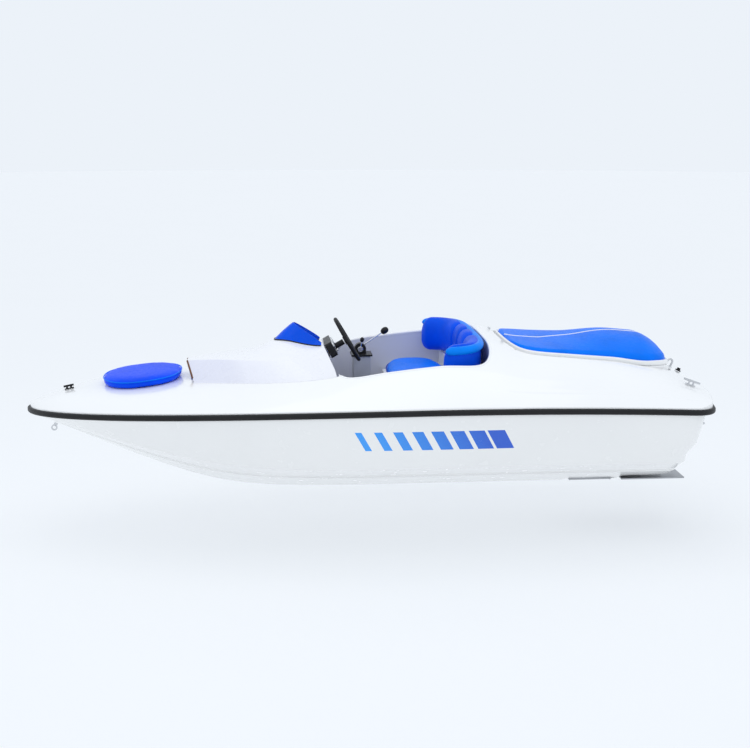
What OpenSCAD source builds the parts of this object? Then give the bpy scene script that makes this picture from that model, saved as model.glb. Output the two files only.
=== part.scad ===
// Small jet boat with a bow cushion, a centre console, a wrap-round bench and a
// sun pad on the engine hatch. Lengths are in millimetres.
// +X points to the bow, +Y to port and +Z up. The origin is on the centreline at
// the waterline. Every module is drawn with its keel at height 0, and afloat()
// lowers it by the draft.

/* [Hull] */
// Length of the hull at the deck line
hull_length = 4560; // [4300:10:5600]
// Greatest breadth of the hull at the deck line
hull_beam = 1880; // [1800:10:2300]
// Breadth of the hull at the stern corners
stern_beam = 1750; // [1700:10:2100]
// Height of the deck line above the keel amidships
sheer_h = 720; // [680:5:860]
// Height of the chine above the keel amidships
chine_h = 338; // [290:2:360]
// Breadth between the chines amidships
chine_beam = 1620; // [1600:10:1900]
// How far the deck line drops at the stem
bow_drop = 125; // [60:5:150]
// How deep the keel sits in the water
draft = 260; // [200:5:300]

/* [Rub rail] */
// Height of the rub rail
rail_h = 38; // [25:1:50]
// How far the rub rail stands out from the hull
rail_w = 20; // [12:1:30]

/* [Cockpit] */
// Height of the cockpit sole above the keel
sole_h = 340; // [320:5:380]
// Where the cockpit ends behind the bench
cockpit_aft_x = -740; // [-800:5:-720]
// Width left between the chine and the cockpit well
well_wall = 100; // [80:5:140]
// Thickness of the cockpit lining
lining_t = 8; // [5:1:15]
// Half-width of the leg space under the console
leg_half_w = 400; // [300:10:400]

/* [Console] */
// Where the front of the console meets the foredeck
console_front_x = 1220; // [1150:5:1300]
// Length of the console at its foot
console_len = 950; // [850:10:1000]
// Half-width of the console's front at its foot
console_front_half_w = 270; // [200:5:300]
// Half-width of the console's rear at its foot
console_rear_half_w = 625; // [550:5:640]
// Wall thickness of the console
console_wall = 25; // [15:1:35]
// Height of the windscreen at its middle
screen_h = 108; // [60:4:160]
// Thickness of the windscreen
screen_t = 5; // [4:1:8]

/* [Helm] */
// Outside diameter of the steering wheel
wheel_d = 343; // [300:1:380]
// Diameter of the wheel's rim
rim_d = 26; // [20:1:32]
// Slope of the steering column from level
column_tilt = 30; // [20:1:40]
// Length of the throttle lever
throttle_len = 218; // [150:2:240]

/* [Seats] */
// Front edge of the bench cushion
seat_front_x = -110; // [-150:5:-80]
// Depth of the bench cushion
seat_depth = 430; // [380:5:440]
// Half-width of the bench cushion
seat_half_w = 560; // [480:5:600]
// Height of the bench cushion's top above the keel
seat_top_h = 802; // [760:2:830]
// Thickness of the bench cushion
seat_t = 110; // [80:5:140]
// Thickness of the backrest
back_t = 110; // [80:5:130]
// Height of the backrest's lower edge above the keel
back_foot_h = 850; // [840:2:880]
// Height of the backrest's top above the keel
back_top_h = 1092; // [1040:2:1120]
// Half-length of the bow cushion
bow_cushion_half_l = 268; // [200:4:300]
// Half-width of the bow cushion
bow_cushion_half_w = 315; // [220:5:330]
// Thickness of the bow cushion
bow_cushion_t = 62; // [40:2:90]

/* [Engine hatch] */
// Front edge of the engine hatch
hatch_front_x = -880; // [-960:5:-870]
// Length of the engine hatch
hatch_len = 1150; // [950:10:1160]
// Half-width of the engine hatch
hatch_half_w = 455; // [400:5:480]
// Thickness of the hatch panel
hatch_t = 34; // [24:1:40]
// Gap round and under the hatch
hatch_gap = 12; // [11:1:15]
// Thickness of the sun pads
pad_t = 45; // [30:1:60]
// Gap between the two sun pads
pad_split = 6; // [4:1:12]

/* [Jet drive] */
// Height of the pump's axis above the keel
pump_h = 170; // [165:1:180]
// Outside radius of the pump housing
pump_r = 105; // [100:1:115]
// Wall thickness of the pump housing
pump_wall = 15; // [8:1:16]
// Gap between impeller and housing
tip_gap = 6; // [5:1:8]
// Inside radius of the jet's outlet
jet_r = 50; // [40:1:54]
// Radius of the drive shaft
shaft_r = 14; // [10:1:18]
// Inner radius of the reverse bucket about its pivot
bucket_r = 218; // [216:1:230]

/* [Hidden] */
// Stern, bow and where the beam is greatest
stern_x = -2130;
stern_camber = 100;
stern_corner_r = 120;
bow_x = hull_length + stern_x - stern_camber;
widest_x = -200;
// How many rings the hull has forward and aft of its widest point
bow_rings = 26;
side_rings = 15;
bow_last_angle = 87;
bow_fullness = 1.2;
// The transom's distance forward of the deck line at the stern, by height
transom_profile = [[0, 150], [360, 150], [430, 88], [620, 45], [660, 45], [sheer_h, 0]];
tail_start_x = -1700;
// Keel line: a long level run and a straight raked stem
stem_back = 1260;
stem_slope = 0.4;
stem_blend = 200;
forefoot_rise = 66;
stern_sheer_drop = 50;
top_sheer_x = -400;
bow_chine_ratio = 0.60;
chine_turn_x = 300;
// Deck: height of its lip over the deck line and of its crown over the keel
deck_lip = 27;
deck_square = 3.6;
crown = [
    [-2300, 700], [-2230, 738], [-2060, 822], [-1960, 866], [-1880, 900], [-1600, 960],
    [-1200, 1000], [-950, 1020], [-760, 1078], [-500, 1102], [-400, 1106], [-200, 1076],
    [0, 1040], [170, 992], [280, 952], [775, 862], [1250, 802], [1500, 790],
    [1830, 764], [2100, 716], [2330, 640]
];
crown_blend = 40;
mould_gap = 1;
// Cockpit
cockpit_front_x = console_front_x - console_len + 30;
leg_front_x = console_front_x - 230;
cockpit_corner = 5;
cockpit_top = 1400;
// Console
console_rear_x = console_front_x - console_len;
console_seat_h = 742;
console_front_lean = 0.4;
console_lean_h = 805;
console_rear_lean = 0.5;
console_fit = 2.5;
// Half-width and height of the console's shoulder, and how far its crown stands
// over that, from the front at 0 to the rear at 1
shoulder_half_w = [[0, 40], [0.17, 108], [0.33, 185], [0.5, 252], [0.6, 284], [0.72, 298],
    [0.85, 262], [0.93, 212], [1, 158]];
shoulder_top = [[0, 915], [0.17, 932], [0.33, 942], [0.5, 946], [0.72, 956], [0.85, 972],
    [0.93, 990], [1, 1013]];
hood_crown = [[0, 0], [0.2, 3], [0.36, 8], [0.52, 37], [0.6, 66], [0.68, 95], [0.78, 92],
    [0.9, 50], [1, 8]];
hood_square = 2.2;
// Windscreen
screen_tip_x = 672;
screen_rear_x = 352;
screen_half_w = 132;
screen_rear_h = 6;
screen_lift = 3;
screen_lean = 128;
// Helm
helm = [175, 0, 1035];
dash_x = 312;
dash_h = 975;
dash_half_w = 150;
// Control pedestal
pedestal = [45, -430];
pedestal_size = [125, 150, 500];
// Seats
bench_half_w = 690;
bench_base_h = seat_top_h - seat_t - 3;
back_open_x = -355;
back_depth = 307;
back_half_w = 585;
back_square = 0.5;
bow_cushion_x = 1568;
// Engine hatch and bay
hatch_aft_x = hatch_front_x - hatch_len;
hatch_sink = 18;
pad_lift = 8;
hump = [
    [-2100, 0], [-2010, 52], [-1955, 108], [-1850, 128], [-1670, 106], [-1520, 76],
    [-1380, 40], [-1150, 0], [-900, 0]
];
hatch_hinge = [hatch_front_x + 26, 1057];
hatch_hinge_y = 260;
bay_aft_x = -1620;
bay_half_w = 400;
bay_floor_h = 235;
bilge_aft_x = -1420;
bilge_half_w = 175;
bilge_h = 115;
ledge_w = 34;
engine_x = [-1385, -1000];
// Jet drive
tunnel_front_x = -1745;
tunnel_half_w = 172;
tunnel_h = 462;
intake_half_w = 75;
pump_aft_x = -1905;
cone_aft_x = -2008;
jet_end_x = -2072;
nozzle_pivot_x = -2060;
nozzle_inlet_r = 75;
nozzle_wall = 8;
nozzle_lead = 10;
nozzle_len = 108;
nozzle_ear_r = 15;
pivot_pin_r = 6;
pin_play = 0.06;
bucket_pivot = [-2000, 215];
bucket_t = 8;
bucket_side_y = 104;
bucket_low = 20;
bucket_high = 80;
ride_plate_h = 30;
ride_plate_t = 9;

$fn = 48;

// ---------------------------------------------------------------- lines of the boat

function mix(a, b, t) = a + (b - a) * t;
function clamp01(t) = max(0, min(1, t));
function smooth(t) = let (c = clamp01(t)) c * c * (3 - 2 * c);

// Height of the deck line at x
function sheer_z(x) = x > top_sheer_x
    ? sheer_h - bow_drop * pow((x - top_sheer_x) / (bow_x - top_sheer_x), 2)
    : sheer_h - stern_sheer_drop * pow((top_sheer_x - max(x, stern_x)) / (top_sheer_x - stern_x), 2);

// Height of the keel at x
function keel_z(x) =
    stem_slope * stem_blend * ln(1 + exp((x - bow_x + stem_back) / stem_blend))
    + forefoot_rise * pow(max(0, x / bow_x), 2);

// Half-breadth of the deck line at x
function half_beam(x) = x > widest_x
    ? hull_beam / 2 * pow(max(0, 1 - pow((x - widest_x) / (bow_x - widest_x), 2)), bow_fullness / 2)
    : mix(hull_beam, stern_beam, pow((widest_x - x) / (widest_x - stern_x), 2)) / 2;

// Half-breadth and height of the chine at x
function chine_y(x) = half_beam(x) * mix(
    chine_beam / hull_beam, bow_chine_ratio,
    pow(clamp01((x - chine_turn_x) / (bow_x - chine_turn_x)), 1.5));
function chine_z(x) = mix(keel_z(x), sheer_z(x), chine_h / sheer_h);

// Height of the deck's top at x, y
function crown_z(x) = (
    lookup(x - crown_blend, crown) + 2 * lookup(x, crown) + lookup(x + crown_blend, crown)) / 4;
function deck_z(x, y) =
    let (foot = sheer_z(x) + deck_lip, side = min(1, abs(y) / max(1, half_beam(x))))
    mix(foot, max(foot, crown_z(x)), 1 - pow(side, deck_square));

// Where the rings of hull and deck stand: the bow closes in on its tip, and the
// stern turns its corner and closes towards the centreline. Each ring is
// [x, share of the breadth].
corner_shares = [for (a = [15 : 15 : 75]) 1 - stern_corner_r * (1 - cos(a)) / (stern_beam / 2)];
stern_shares = [0.8, 0.7, 0.6, 0.4, 0.2, 0.06];
ring_places = concat(
    [for (i = [0 : bow_rings - 1])
        [widest_x + (bow_x - widest_x) * sin(bow_last_angle * (1 - i / bow_rings)), 1]],
    [for (i = [0 : side_rings])
        [mix(widest_x, stern_x + stern_corner_r, i / side_rings), 1]],
    [for (s = corner_shares) [stern_x + corner_back(s), s]],
    [for (s = stern_shares) [stern_x, s]]
);

// How far forward of the stern the corner lies where the breadth is down to a share
function corner_back(s) =
    let (y = clamp01((s * stern_beam / 2 - stern_beam / 2 + stern_corner_r) / stern_corner_r))
    stern_corner_r * (1 - sqrt(1 - y * y));

// Moves a point near the stern onto the cambered and stepped transom
function tail(x, y, z, step) =
    let (t = smooth((tail_start_x - x) / (tail_start_x - stern_x - stern_corner_r)))
    [x + t * (step - stern_camber * (1 - pow(min(1, abs(y) / (stern_beam / 2)), 2))), y, z];

// Hull section at x, from keel to deck line, as [half-breadth, height]
bottom_line = [[0.02, 0], [0.25, 0.24], [0.47, 0.464], [0.505, 0.476], [0.51, 0.51],
    [0.75, 0.75], [0.955, 0.95], [1, 0.962]];
side_line = [0.05, 0.2, 0.4, 0.6, 0.8];
flare = 0.8;
under_rail = 24;
function hull_half(x) = let (k = keel_z(x), s = sheer_z(x), b = half_beam(x), c = chine_y(x),
        z = chine_z(x), foot = mix(k, z, 0.962), lip = min(under_rail, (s - foot) / 8)) concat(
    [for (p = bottom_line) [c * p[0], mix(k, z, p[1])]],
    [for (t = side_line) [mix(c, b, pow(t, flare)), mix(foot, s - lip, t)]],
    [[b, s - lip], [b, s]]
);
function hull_ring(place) = let (x = place[0], s = place[1], half = hull_half(x), n = len(half))
    [for (i = [0 : n - 1])
        tail(x, half[i][0] * s, half[i][1], i == n - 1 ? 0 : lookup(half[i][1], transom_profile))];

// The deck in rows from bow to stern. Each row runs from port to starboard through
// these shares of the breadth, and the last row is the curved stern edge.
deck_shares = concat([1], corner_shares, [0.8, 0.7, 0.6, 0.48, 0.36, 0.24, 0.12]);
deck_columns = concat(deck_shares, [0], [for (i = [len(deck_shares) - 1 : -1 : 0]) -deck_shares[i]]);
function corner_x(share) = stern_x + corner_back(abs(share));
function stern_edge(share) = let (x = corner_x(share), y = half_beam(x) * abs(share))
    x - stern_camber * (1 - pow(min(1, y / (stern_beam / 2)), 2));
function deck_row(x, t) = [for (e = deck_columns)
    let (px = mix(x, stern_edge(e), t)) [px, half_beam(max(px, corner_x(e))) * e]];
deck_rows = concat(
    [for (p = ring_places) if (p[0] > tail_start_x && p[1] == 1) deck_row(p[0], 0)],
    [for (t = [0 : 7]) deck_row(tail_start_x, t / 7)]);
function lifted(rows, heights) = [for (r = [0 : len(rows) - 1]) [for (c = [0 : len(rows[r]) - 1])
    [rows[r][c][0], rows[r][c][1], heights[r][c]]]];

// ---------------------------------------------------------------- solids from rings

// A solid that is the same to port and starboard. Each ring lists its port points
// from bottom to top; the faces between rings, and both ends, are drawn here.
module loft(rings) {
    n = len(rings[0]);
    m = 2 * n;
    points = [for (ring = rings) for (j = [0 : m - 1])
        j < n ? ring[j] : let (p = ring[m - 1 - j]) [p[0], -p[1], p[2]]];
    last = (len(rings) - 1) * m;
    polyhedron(points, concat(
        [for (r = [0 : len(rings) - 2]) for (j = [0 : m - 1])
            let (a = r * m + j, b = r * m + (j + 1) % m) [a, b, b + m]],
        [for (r = [0 : len(rings) - 2]) for (j = [0 : m - 1])
            let (a = r * m + j, b = r * m + (j + 1) % m) [a, b + m, a + m]],
        [for (i = [0 : n - 2]) [i, m - 1 - i, m - 2 - i, i + 1]],
        [for (i = [0 : n - 2]) [last + i, last + i + 1, last + m - 2 - i, last + m - 1 - i]]
    ));
}

// A slab between two grids of points, top over bottom, both rows by columns
module slab(top, bottom) {
    rows = len(top);
    cols = len(top[0]);
    half = rows * cols;
    function at(r, c) = r * cols + c;
    cells = [for (r = [0 : rows - 2]) for (c = [0 : cols - 2])
        [at(r, c), at(r, c + 1), at(r + 1, c + 1), at(r + 1, c)]];
    rim = concat(
        [for (c = [0 : cols - 2]) [at(0, c + 1), at(0, c)]],
        [for (r = [0 : rows - 2]) [at(r, 0), at(r + 1, 0)]],
        [for (c = [0 : cols - 2]) [at(rows - 1, c), at(rows - 1, c + 1)]],
        [for (r = [0 : rows - 2]) [at(r + 1, cols - 1), at(r, cols - 1)]]);
    polyhedron(
        concat([for (row = top) for (p = row) p], [for (row = bottom) for (p = row) p]),
        concat(
            [for (q = cells) [q[0], q[1], q[2]]],
            [for (q = cells) [q[0], q[2], q[3]]],
            [for (q = cells) [q[2] + half, q[1] + half, q[0] + half]],
            [for (q = cells) [q[3] + half, q[2] + half, q[0] + half]],
            [for (e = rim) [e[0], e[1], e[1] + half]],
            [for (e = rim) [e[0], e[1] + half, e[0] + half]]
        ));
}

// A closed section carried along a path: rings of points that run the same way
module sweep(rings) {
    m = len(rings[0]);
    last = (len(rings) - 1) * m;
    polyhedron([for (ring = rings) for (p = ring) p], concat(
        [for (r = [0 : len(rings) - 2]) for (j = [0 : m - 1])
            let (a = r * m + j, b = r * m + (j + 1) % m) [a, b, b + m]],
        [for (r = [0 : len(rings) - 2]) for (j = [0 : m - 1])
            let (a = r * m + j, b = r * m + (j + 1) % m) [a, b + m, a + m]],
        [[for (j = [0 : m - 1]) m - 1 - j]],
        [[for (j = [0 : m - 1]) last + j]]
    ));
}

// Plan outline, port and starboard, of a well whose half-width is given by x
function outline(places, widths) = concat(
    [for (i = [0 : len(places) - 1]) [places[i], widths[i]]],
    [for (i = [len(places) - 1 : -1 : 0]) [places[i], -widths[i]]]);

module afloat() translate([0, 0, -draft]) children();

// Moulded shells are drawn as one skin at their own size
module moulded() resize([0, 0, 0]) children();

// A closed rod or tube whose axis runs along X, from x0 aft to x1
module along_x(x0, x1, r1, r2) translate([x0, 0, 0]) rotate([0, -90, 0]) cylinder(r1 = r1, r2 = r2, h = x0 - x1);

// ---------------------------------------------------------------- hull and deck

// Half-width of the cockpit well at x: parallel to the chine, with round ends
function well_half(x, off) = let (
        mid = (cockpit_front_x + cockpit_aft_x) / 2,
        half = (cockpit_front_x - cockpit_aft_x) / 2 + off,
        u = min(1, abs(x - mid) / half))
    (chine_y(x) - well_wall + off) * pow(max(0, 1 - pow(u, 2 * cockpit_corner)), 1 / cockpit_corner);
module well_plan(off = 0) {
    mid = (cockpit_front_x + cockpit_aft_x) / 2;
    half = (cockpit_front_x - cockpit_aft_x) / 2 + off;
    places = [for (a = [-90 : 6 : 90]) mid + half * sin(a)];
    polygon(outline(places, [for (x = places) max(1, well_half(x, off))]));
}
module leg_plan(off = 0) {
    translate([cockpit_front_x - 60, -leg_half_w - off])
        square([leg_front_x - cockpit_front_x + 60 + off, 2 * (leg_half_w + off)]);
}
module cockpit_plan(off = 0) {
    well_plan(off);
    leg_plan(off);
}
module engine_bay() {
    bay_front = hatch_front_x - ledge_w;
    translate([bay_aft_x, -bay_half_w, bay_floor_h])
        cube([bay_front - bay_aft_x, 2 * bay_half_w, cockpit_top]);
    translate([bilge_aft_x, -bilge_half_w, bilge_h])
        cube([bay_front - ledge_w - bilge_aft_x, 2 * bilge_half_w, bay_floor_h]);
}
// Duct from the grate up to the pump, and the tunnel that the pump stands in
module jet_passage() {
    under = -30;
    duct_front_x = -1300;
    translate([0, intake_half_w, 0]) rotate([90, 0, 0]) linear_extrude(2 * intake_half_w)
        polygon([[duct_front_x, under], [bay_aft_x, pump_h + 20], [tunnel_front_x - 5, pump_h + 90],
            [tunnel_front_x - 5, pump_h - 95], [tunnel_front_x + 55, under]]);
    translate([stern_x - 300, -tunnel_half_w, under])
        cube([tunnel_front_x - stern_x + 300, 2 * tunnel_half_w, tunnel_h - under]);
    translate([0, 0, pump_h]) along_x(bilge_aft_x + 5, bay_aft_x, shaft_r + 6, shaft_r + 6);
}

module hull_shell() {
    color("whitesmoke") moulded() difference() {
        loft([for (p = ring_places) hull_ring(p)]);
        translate([0, 0, sole_h]) linear_extrude(cockpit_top) cockpit_plan();
        engine_bay();
        jet_passage();
    }
}

// Hatch outline: half-width at x, with a square front and a rounder stern end
hatch_mid = hatch_front_x - hatch_len / 2;
function hatch_half(x, off = 0) = let (
        u = min(1, abs(x - hatch_mid) / (hatch_len / 2 + off)), p = x > hatch_mid ? 7 : 4.6)
    (hatch_half_w + off) * pow(max(0, 1 - pow(u, p)), 0.3);
hatch_angles = [86, 78, 70, 60, 50, 40, 30, 20, 10, 0, -12, -24, -36, -48, -60, -70, -78, -84, -88];
hatch_columns = [-1, -0.94, -0.82, -0.66, -0.48, -0.3, -0.12, 0.12, 0.3, 0.48, 0.66, 0.82, 0.94, 1];
function hatch_rows(off) = [for (a = hatch_angles)
    let (x = hatch_mid + (hatch_len / 2 + off) * sin(a)) [for (v = hatch_columns) [x, -v * hatch_half(x, off)]]];
function hatch_z(x, y) = deck_z(x, y) - hatch_sink
    + lookup(x, hump) * (1 - pow(min(1, abs(y) / hatch_half_w), 2));
function heights(rows, up) = [for (row = rows) [for (p = row) hatch_z(p[0], p[1]) + up]];
module hatch_recess() {
    rows = hatch_rows(hatch_gap);
    slab(lifted(rows, heights(rows, 300)), lifted(rows, heights(rows, -hatch_t - hatch_gap)));
}

// Console outline at its foot
function console_t(x) = clamp01((console_front_x - x) / console_len);
function console_foot_y(t) = mix(console_front_half_w, console_rear_half_w, sin(90 * t));
module console_foot(off) {
    steps = 12;
    places = [for (i = [0 : steps]) mix(console_rear_x, console_front_x, i / steps)];
    ends = [for (x = places) x + (x == console_rear_x ? -off : x == console_front_x ? off : 0)];
    polygon(outline(ends, [for (x = places) console_foot_y(console_t(x)) + off]));
}
module console_recess() {
    translate([0, 0, console_seat_h]) linear_extrude(cockpit_top) console_foot(console_fit);
}

module deck() {
    foot = [for (row = deck_rows) [for (p = row) sheer_z(p[0]) + mould_gap]];
    top = [for (row = deck_rows) [for (p = row) max(sheer_z(p[0]) + deck_lip, deck_z(p[0], p[1]))]];
    color("white") moulded() difference() {
        slab(lifted(deck_rows, top), lifted(deck_rows, foot));
        translate([0, 0, sole_h]) linear_extrude(cockpit_top) cockpit_plan();
        engine_bay();
        hatch_recess();
        console_recess();
    }
}

// The rail's section and its line round the deck edge, set outward along its normal
rail_section = [[0, -0.5], [0.55, -0.46], [0.92, -0.25], [1, 0], [0.92, 0.25], [0.55, 0.46], [0, 0.5]];
rail_port = concat(
    [for (p = ring_places) if (p[1] == 1) [p[0], half_beam(p[0]), sheer_z(p[0])]],
    [for (s = concat(corner_shares, stern_shares)) let (x = stern_edge(s))
        [x, s * half_beam(corner_x(s)), sheer_z(x)]]);
rail_line = concat(rail_port,
    [for (i = [len(rail_port) - 1 : -1 : 0]) let (p = rail_port[i]) [p[0], -p[1], p[2]]]);
rail_gap = 1.5;
module rub_rail() {
    n = len(rail_line);
    m = len(rail_section);
    function out(i) = let (a = rail_line[(i + n - 1) % n], b = rail_line[(i + 1) % n],
            d = [a[1] - b[1], b[0] - a[0]]) d / norm(d);
    points = [for (i = [0 : n - 1]) let (p = rail_line[i], o = out(i)) for (s = rail_section)
        [p[0] - o[0] * (rail_gap + rail_w * s[0]), p[1] - o[1] * (rail_gap + rail_w * s[0]),
            p[2] + rail_h * s[1]]];
    function at(i, j) = (i % n) * m + j % m;
    color("black") polyhedron(points, concat(
        [for (i = [0 : n - 1]) for (j = [0 : m - 1]) [at(i, j), at(i, j + 1), at(i + 1, j + 1)]],
        [for (i = [0 : n - 1]) for (j = [0 : m - 1]) [at(i, j), at(i + 1, j + 1), at(i + 1, j)]]));
}

// ---------------------------------------------------------------- cockpit

module cockpit_lining() {
    top_gap = 14;
    lining_rows = [for (row = deck_rows) [for (p = row) max(sole_h + 1, deck_z(p[0], p[1]) - top_gap)]];
    lining_foot = [for (row = deck_rows) [for (p = row) sole_h]];
    color("gainsboro") moulded() intersection() {
        translate([0, 0, sole_h + lining_t + 2]) linear_extrude(cockpit_top) difference() {
            well_plan(-1);
            well_plan(-1 - lining_t);
            translate([cockpit_front_x - 32, -console_rear_half_w - 4])
                square([200, 2 * console_rear_half_w + 8]);
        }
        slab(lifted(deck_rows, lining_rows), lifted(deck_rows, lining_foot));
    }
}

module cockpit_sole() {
    color("lightgray") translate([0, 0, sole_h]) linear_extrude(lining_t) {
        well_plan(-1);
        leg_plan(-1);
    }
}

// ---------------------------------------------------------------- console

// Section of the console's skin at t, 0 at the front and 1 at the rear, set inward
function console_x(t, z, off) = mix(
    console_front_x - off + console_front_lean * max(0, z - console_lean_h),
    console_rear_x + console_rear_lean * max(0, z - console_seat_h - 130), t);
function shoulder_y(t) = lookup(t, shoulder_half_w);
function shoulder_h(t) = lookup(t, shoulder_top);
function hood_z(t, y) = shoulder_h(t)
    + lookup(t, hood_crown) * (1 - pow(min(1, abs(y) / shoulder_y(t)), hood_square));
function hood_share(x, z) = (console_x(0, z, 0) - x) / (console_x(0, z, 0) - console_x(1, z, 0));
function hood_guess(x, y) = let (z = hood_z(console_t(x), y)) hood_z(hood_share(x, z), y);
function hood_top(x, y) = let (z = hood_z(hood_share(x, hood_guess(x, y)), y))
    hood_z(hood_share(x, z), y);
hood_shares = [1, 0.93, 0.82, 0.68, 0.5, 0.3, 0.1];
function console_half(t, off, foot) = let (y0 = console_foot_y(t) - off, y1 = shoulder_y(t) - off,
        z1 = shoulder_h(t) - off) concat(
    [[console_x(t, foot, off), y0, foot]],
    [for (k = [0.35, 0.7, 0.93]) let (z = mix(console_seat_h, z1, k))
        [console_x(t, z, off), mix(y0, y1, k) + 14 * sin(180 * k) * t, z]],
    [for (e = hood_shares) let (z = hood_z(t, e * shoulder_y(t)) - off)
        [console_x(t, z, off), y1 * e, z]]);
console_steps = [0, 0.02, 0.08, 0.16, 0.25, 0.34, 0.43, 0.48, 0.52, 0.56, 0.6, 0.64, 0.68, 0.73, 0.78, 0.84,
    0.9, 0.95, 1];
module console_hood() {
    color("white") moulded() difference() {
        loft([for (t = console_steps) console_half(t, 0, console_seat_h)]);
        loft([for (t = concat(console_steps, [1.1])) console_half(t, console_wall, console_seat_h - 30)]);
    }
}

// Dark strip up each corner of the console's front
module console_trim() {
    strip_w = 11;
    strip_t = 4;
    edge_in = 4;
    lift = 1.5;
    heights = [for (k = [0 : 4]) mix(console_lean_h + 25, shoulder_h(0) - 8, k / 4)];
    function line(off, w) = [for (z = heights) [console_x(0, z, 0) + off,
        mix(console_front_half_w, shoulder_y(0),
            (z - console_seat_h) / (shoulder_h(0) - console_seat_h)) - edge_in - w, z]];
    color("saddlebrown") for (m = [0, 1]) mirror([0, m, 0]) slab(
        [line(strip_t + lift, strip_w), line(strip_t + lift, 0)],
        [line(lift, strip_w), line(lift, 0)]);
}

// Low screen wrapped round the front of the helm. a runs from -90 at one rear end
// over 0 at the tip to 90 at the other, and k from its foot to its top edge.
function screen_point(a, k, off) = let (
        side = pow(abs(sin(a)), 0.9) * sign(sin(a)), front = pow(cos(a), 1.1),
        h = mix(screen_rear_h, screen_h, pow(cos(a), 0.8)),
        x = mix(screen_rear_x, screen_tip_x, front) - off * front - k * screen_lean * front,
        y = (screen_half_w - off - k * 22) * side,
        foot = hood_top(x, y) + screen_lift)
    [x, y, foot + k * h];
module windscreen() {
    angles = [-88, -80, -70, -60, -50, -40, -30, -20, -10, 0, 10, 20, 30, 40, 50, 60, 70, 80, 88];
    rises = [0, 0.25, 0.5, 0.75, 1];
    color([0, 0.32, 0.9]) slab(
        [for (k = rises) [for (a = angles) screen_point(a, k, screen_t)]],
        [for (k = rises) [for (a = angles) screen_point(a, k, 0)]]);
}

// Black moulding across the console's rear edge, and what it carries
module dash_frame() translate([dash_x, 0, dash_h]) rotate([0, column_tilt - 90, 0]) children();
dash_t = 48;
dash_l = 104;
column_off = (helm[0] - dash_x) * sin(column_tilt) + (helm[2] - dash_h) * cos(column_tilt);
module dash_panel() {
    corner = 16;
    color("black") dash_frame() difference() {
        hull() for (y = [-1, 1]) for (x = [-1, 1])
            translate([x * (dash_l / 2 - corner), y * (dash_half_w - corner), 0])
                cylinder(r = corner, h = dash_t, $fn = 24);
        translate([column_off, 0, -1]) cylinder(r = 27, h = dash_t + 2);
    }
}
gauge_r = 24;
gauge_places = [-104, -46, 46, 104];
module gauges() {
    bezel = 9;
    color("dimgray") dash_frame() for (y = gauge_places) translate([14, y, dash_t + 0.3]) difference() {
        cylinder(r = gauge_r, h = bezel);
        translate([0, 0, bezel - 4]) cylinder(r = gauge_r - 5, h = 5);
    }
}
module ignition_switch() {
    color("silver") dash_frame() translate([-30, 76, dash_t + 0.3]) {
        cylinder(r = 12, h = 6);
        translate([0, 0, 6]) cylinder(r = 8, h = 12);
        translate([-2, -9, 18]) cube([4, 18, 16]);
    }
}

// ---------------------------------------------------------------- helm and controls

module helm_frame() translate(helm) rotate([0, column_tilt - 90, 0]) children();
hub_r = 34;
module steering_column() {
    lead = 28;
    depth = (dash_x - helm[0]) * cos(column_tilt) + (helm[2] - dash_h) * sin(column_tilt) - lead - 2;
    color("dimgray") helm_frame() translate([0, 0, -depth - lead]) {
        cylinder(r = 20, h = depth);
        cylinder(r = 25.5, h = 60);
    }
}
module steering_wheel() {
    ring = wheel_d / 2 - rim_d / 2;
    spoke_w = 34;
    spoke_t = 9;
    color("black") helm_frame() {
        rotate_extrude($fn = 72) translate([ring, 0]) circle(r = rim_d / 2, $fn = 24);
        translate([0, 0, -22]) cylinder(r = hub_r, h = 26);
        translate([0, 0, 4]) cylinder(r = hub_r - 8, h = 6);
        for (a = [90, 210, 330]) rotate(a) translate([hub_r - 6, -spoke_w / 2, -16])
            cube([ring - hub_r + 6 - rim_d / 4, spoke_w, spoke_t]);
    }
}

module pedestal_box(w, d, z0, z1) translate([pedestal[0] - w / 2, pedestal[1] - d / 2, z0]) cube([w, d, z1 - z0]);
pedestal_top = sole_h + lining_t + pedestal_size[2];
module control_pedestal() {
    w = pedestal_size[0];
    d = pedestal_size[1];
    color("lightgray") difference() {
        pedestal_box(w, d, sole_h + lining_t + 0.5, pedestal_top);
        pedestal_box(w - 30, d + 2, pedestal_top - 330, pedestal_top - 318);
    }
}
module control_head() {
    w = pedestal_size[0] + 26;
    d = pedestal_size[1] + 16;
    z = pedestal_top + 0.5;
    color("black") {
        pedestal_box(w, d, z, z + 12);
        translate([pedestal[0] + 8, pedestal[1] + 26, z + 45]) rotate([90, 0, 0]) difference() {
            union() {
                cylinder(r = 42, h = 52);
                translate([-42, -34, 0]) cube([84, 34, 52]);
            }
            translate([0, 0, -1]) cylinder(r = 12.5, h = 54);
        }
    }
}
module lever(len, lean, rod_r, knob_r, y) {
    z = pedestal_top + 45.5;
    color("silver") translate([pedestal[0] + 8, y, z]) rotate([0, -lean, 0]) {
        rotate([90, 0, 0]) translate([0, 0, -8]) cylinder(r = 20, h = 16);
        cylinder(r = rod_r, h = len);
        translate([0, 0, len]) scale([1, 1, 1.25]) sphere(r = knob_r, $fn = 32);
    }
}
module throttle_lever() lever(throttle_len, 56, 6, 24, pedestal[1] - 36);
module shift_lever() lever(70, 10, 5, 15, pedestal[1] + 36);

// ---------------------------------------------------------------- seats

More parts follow.
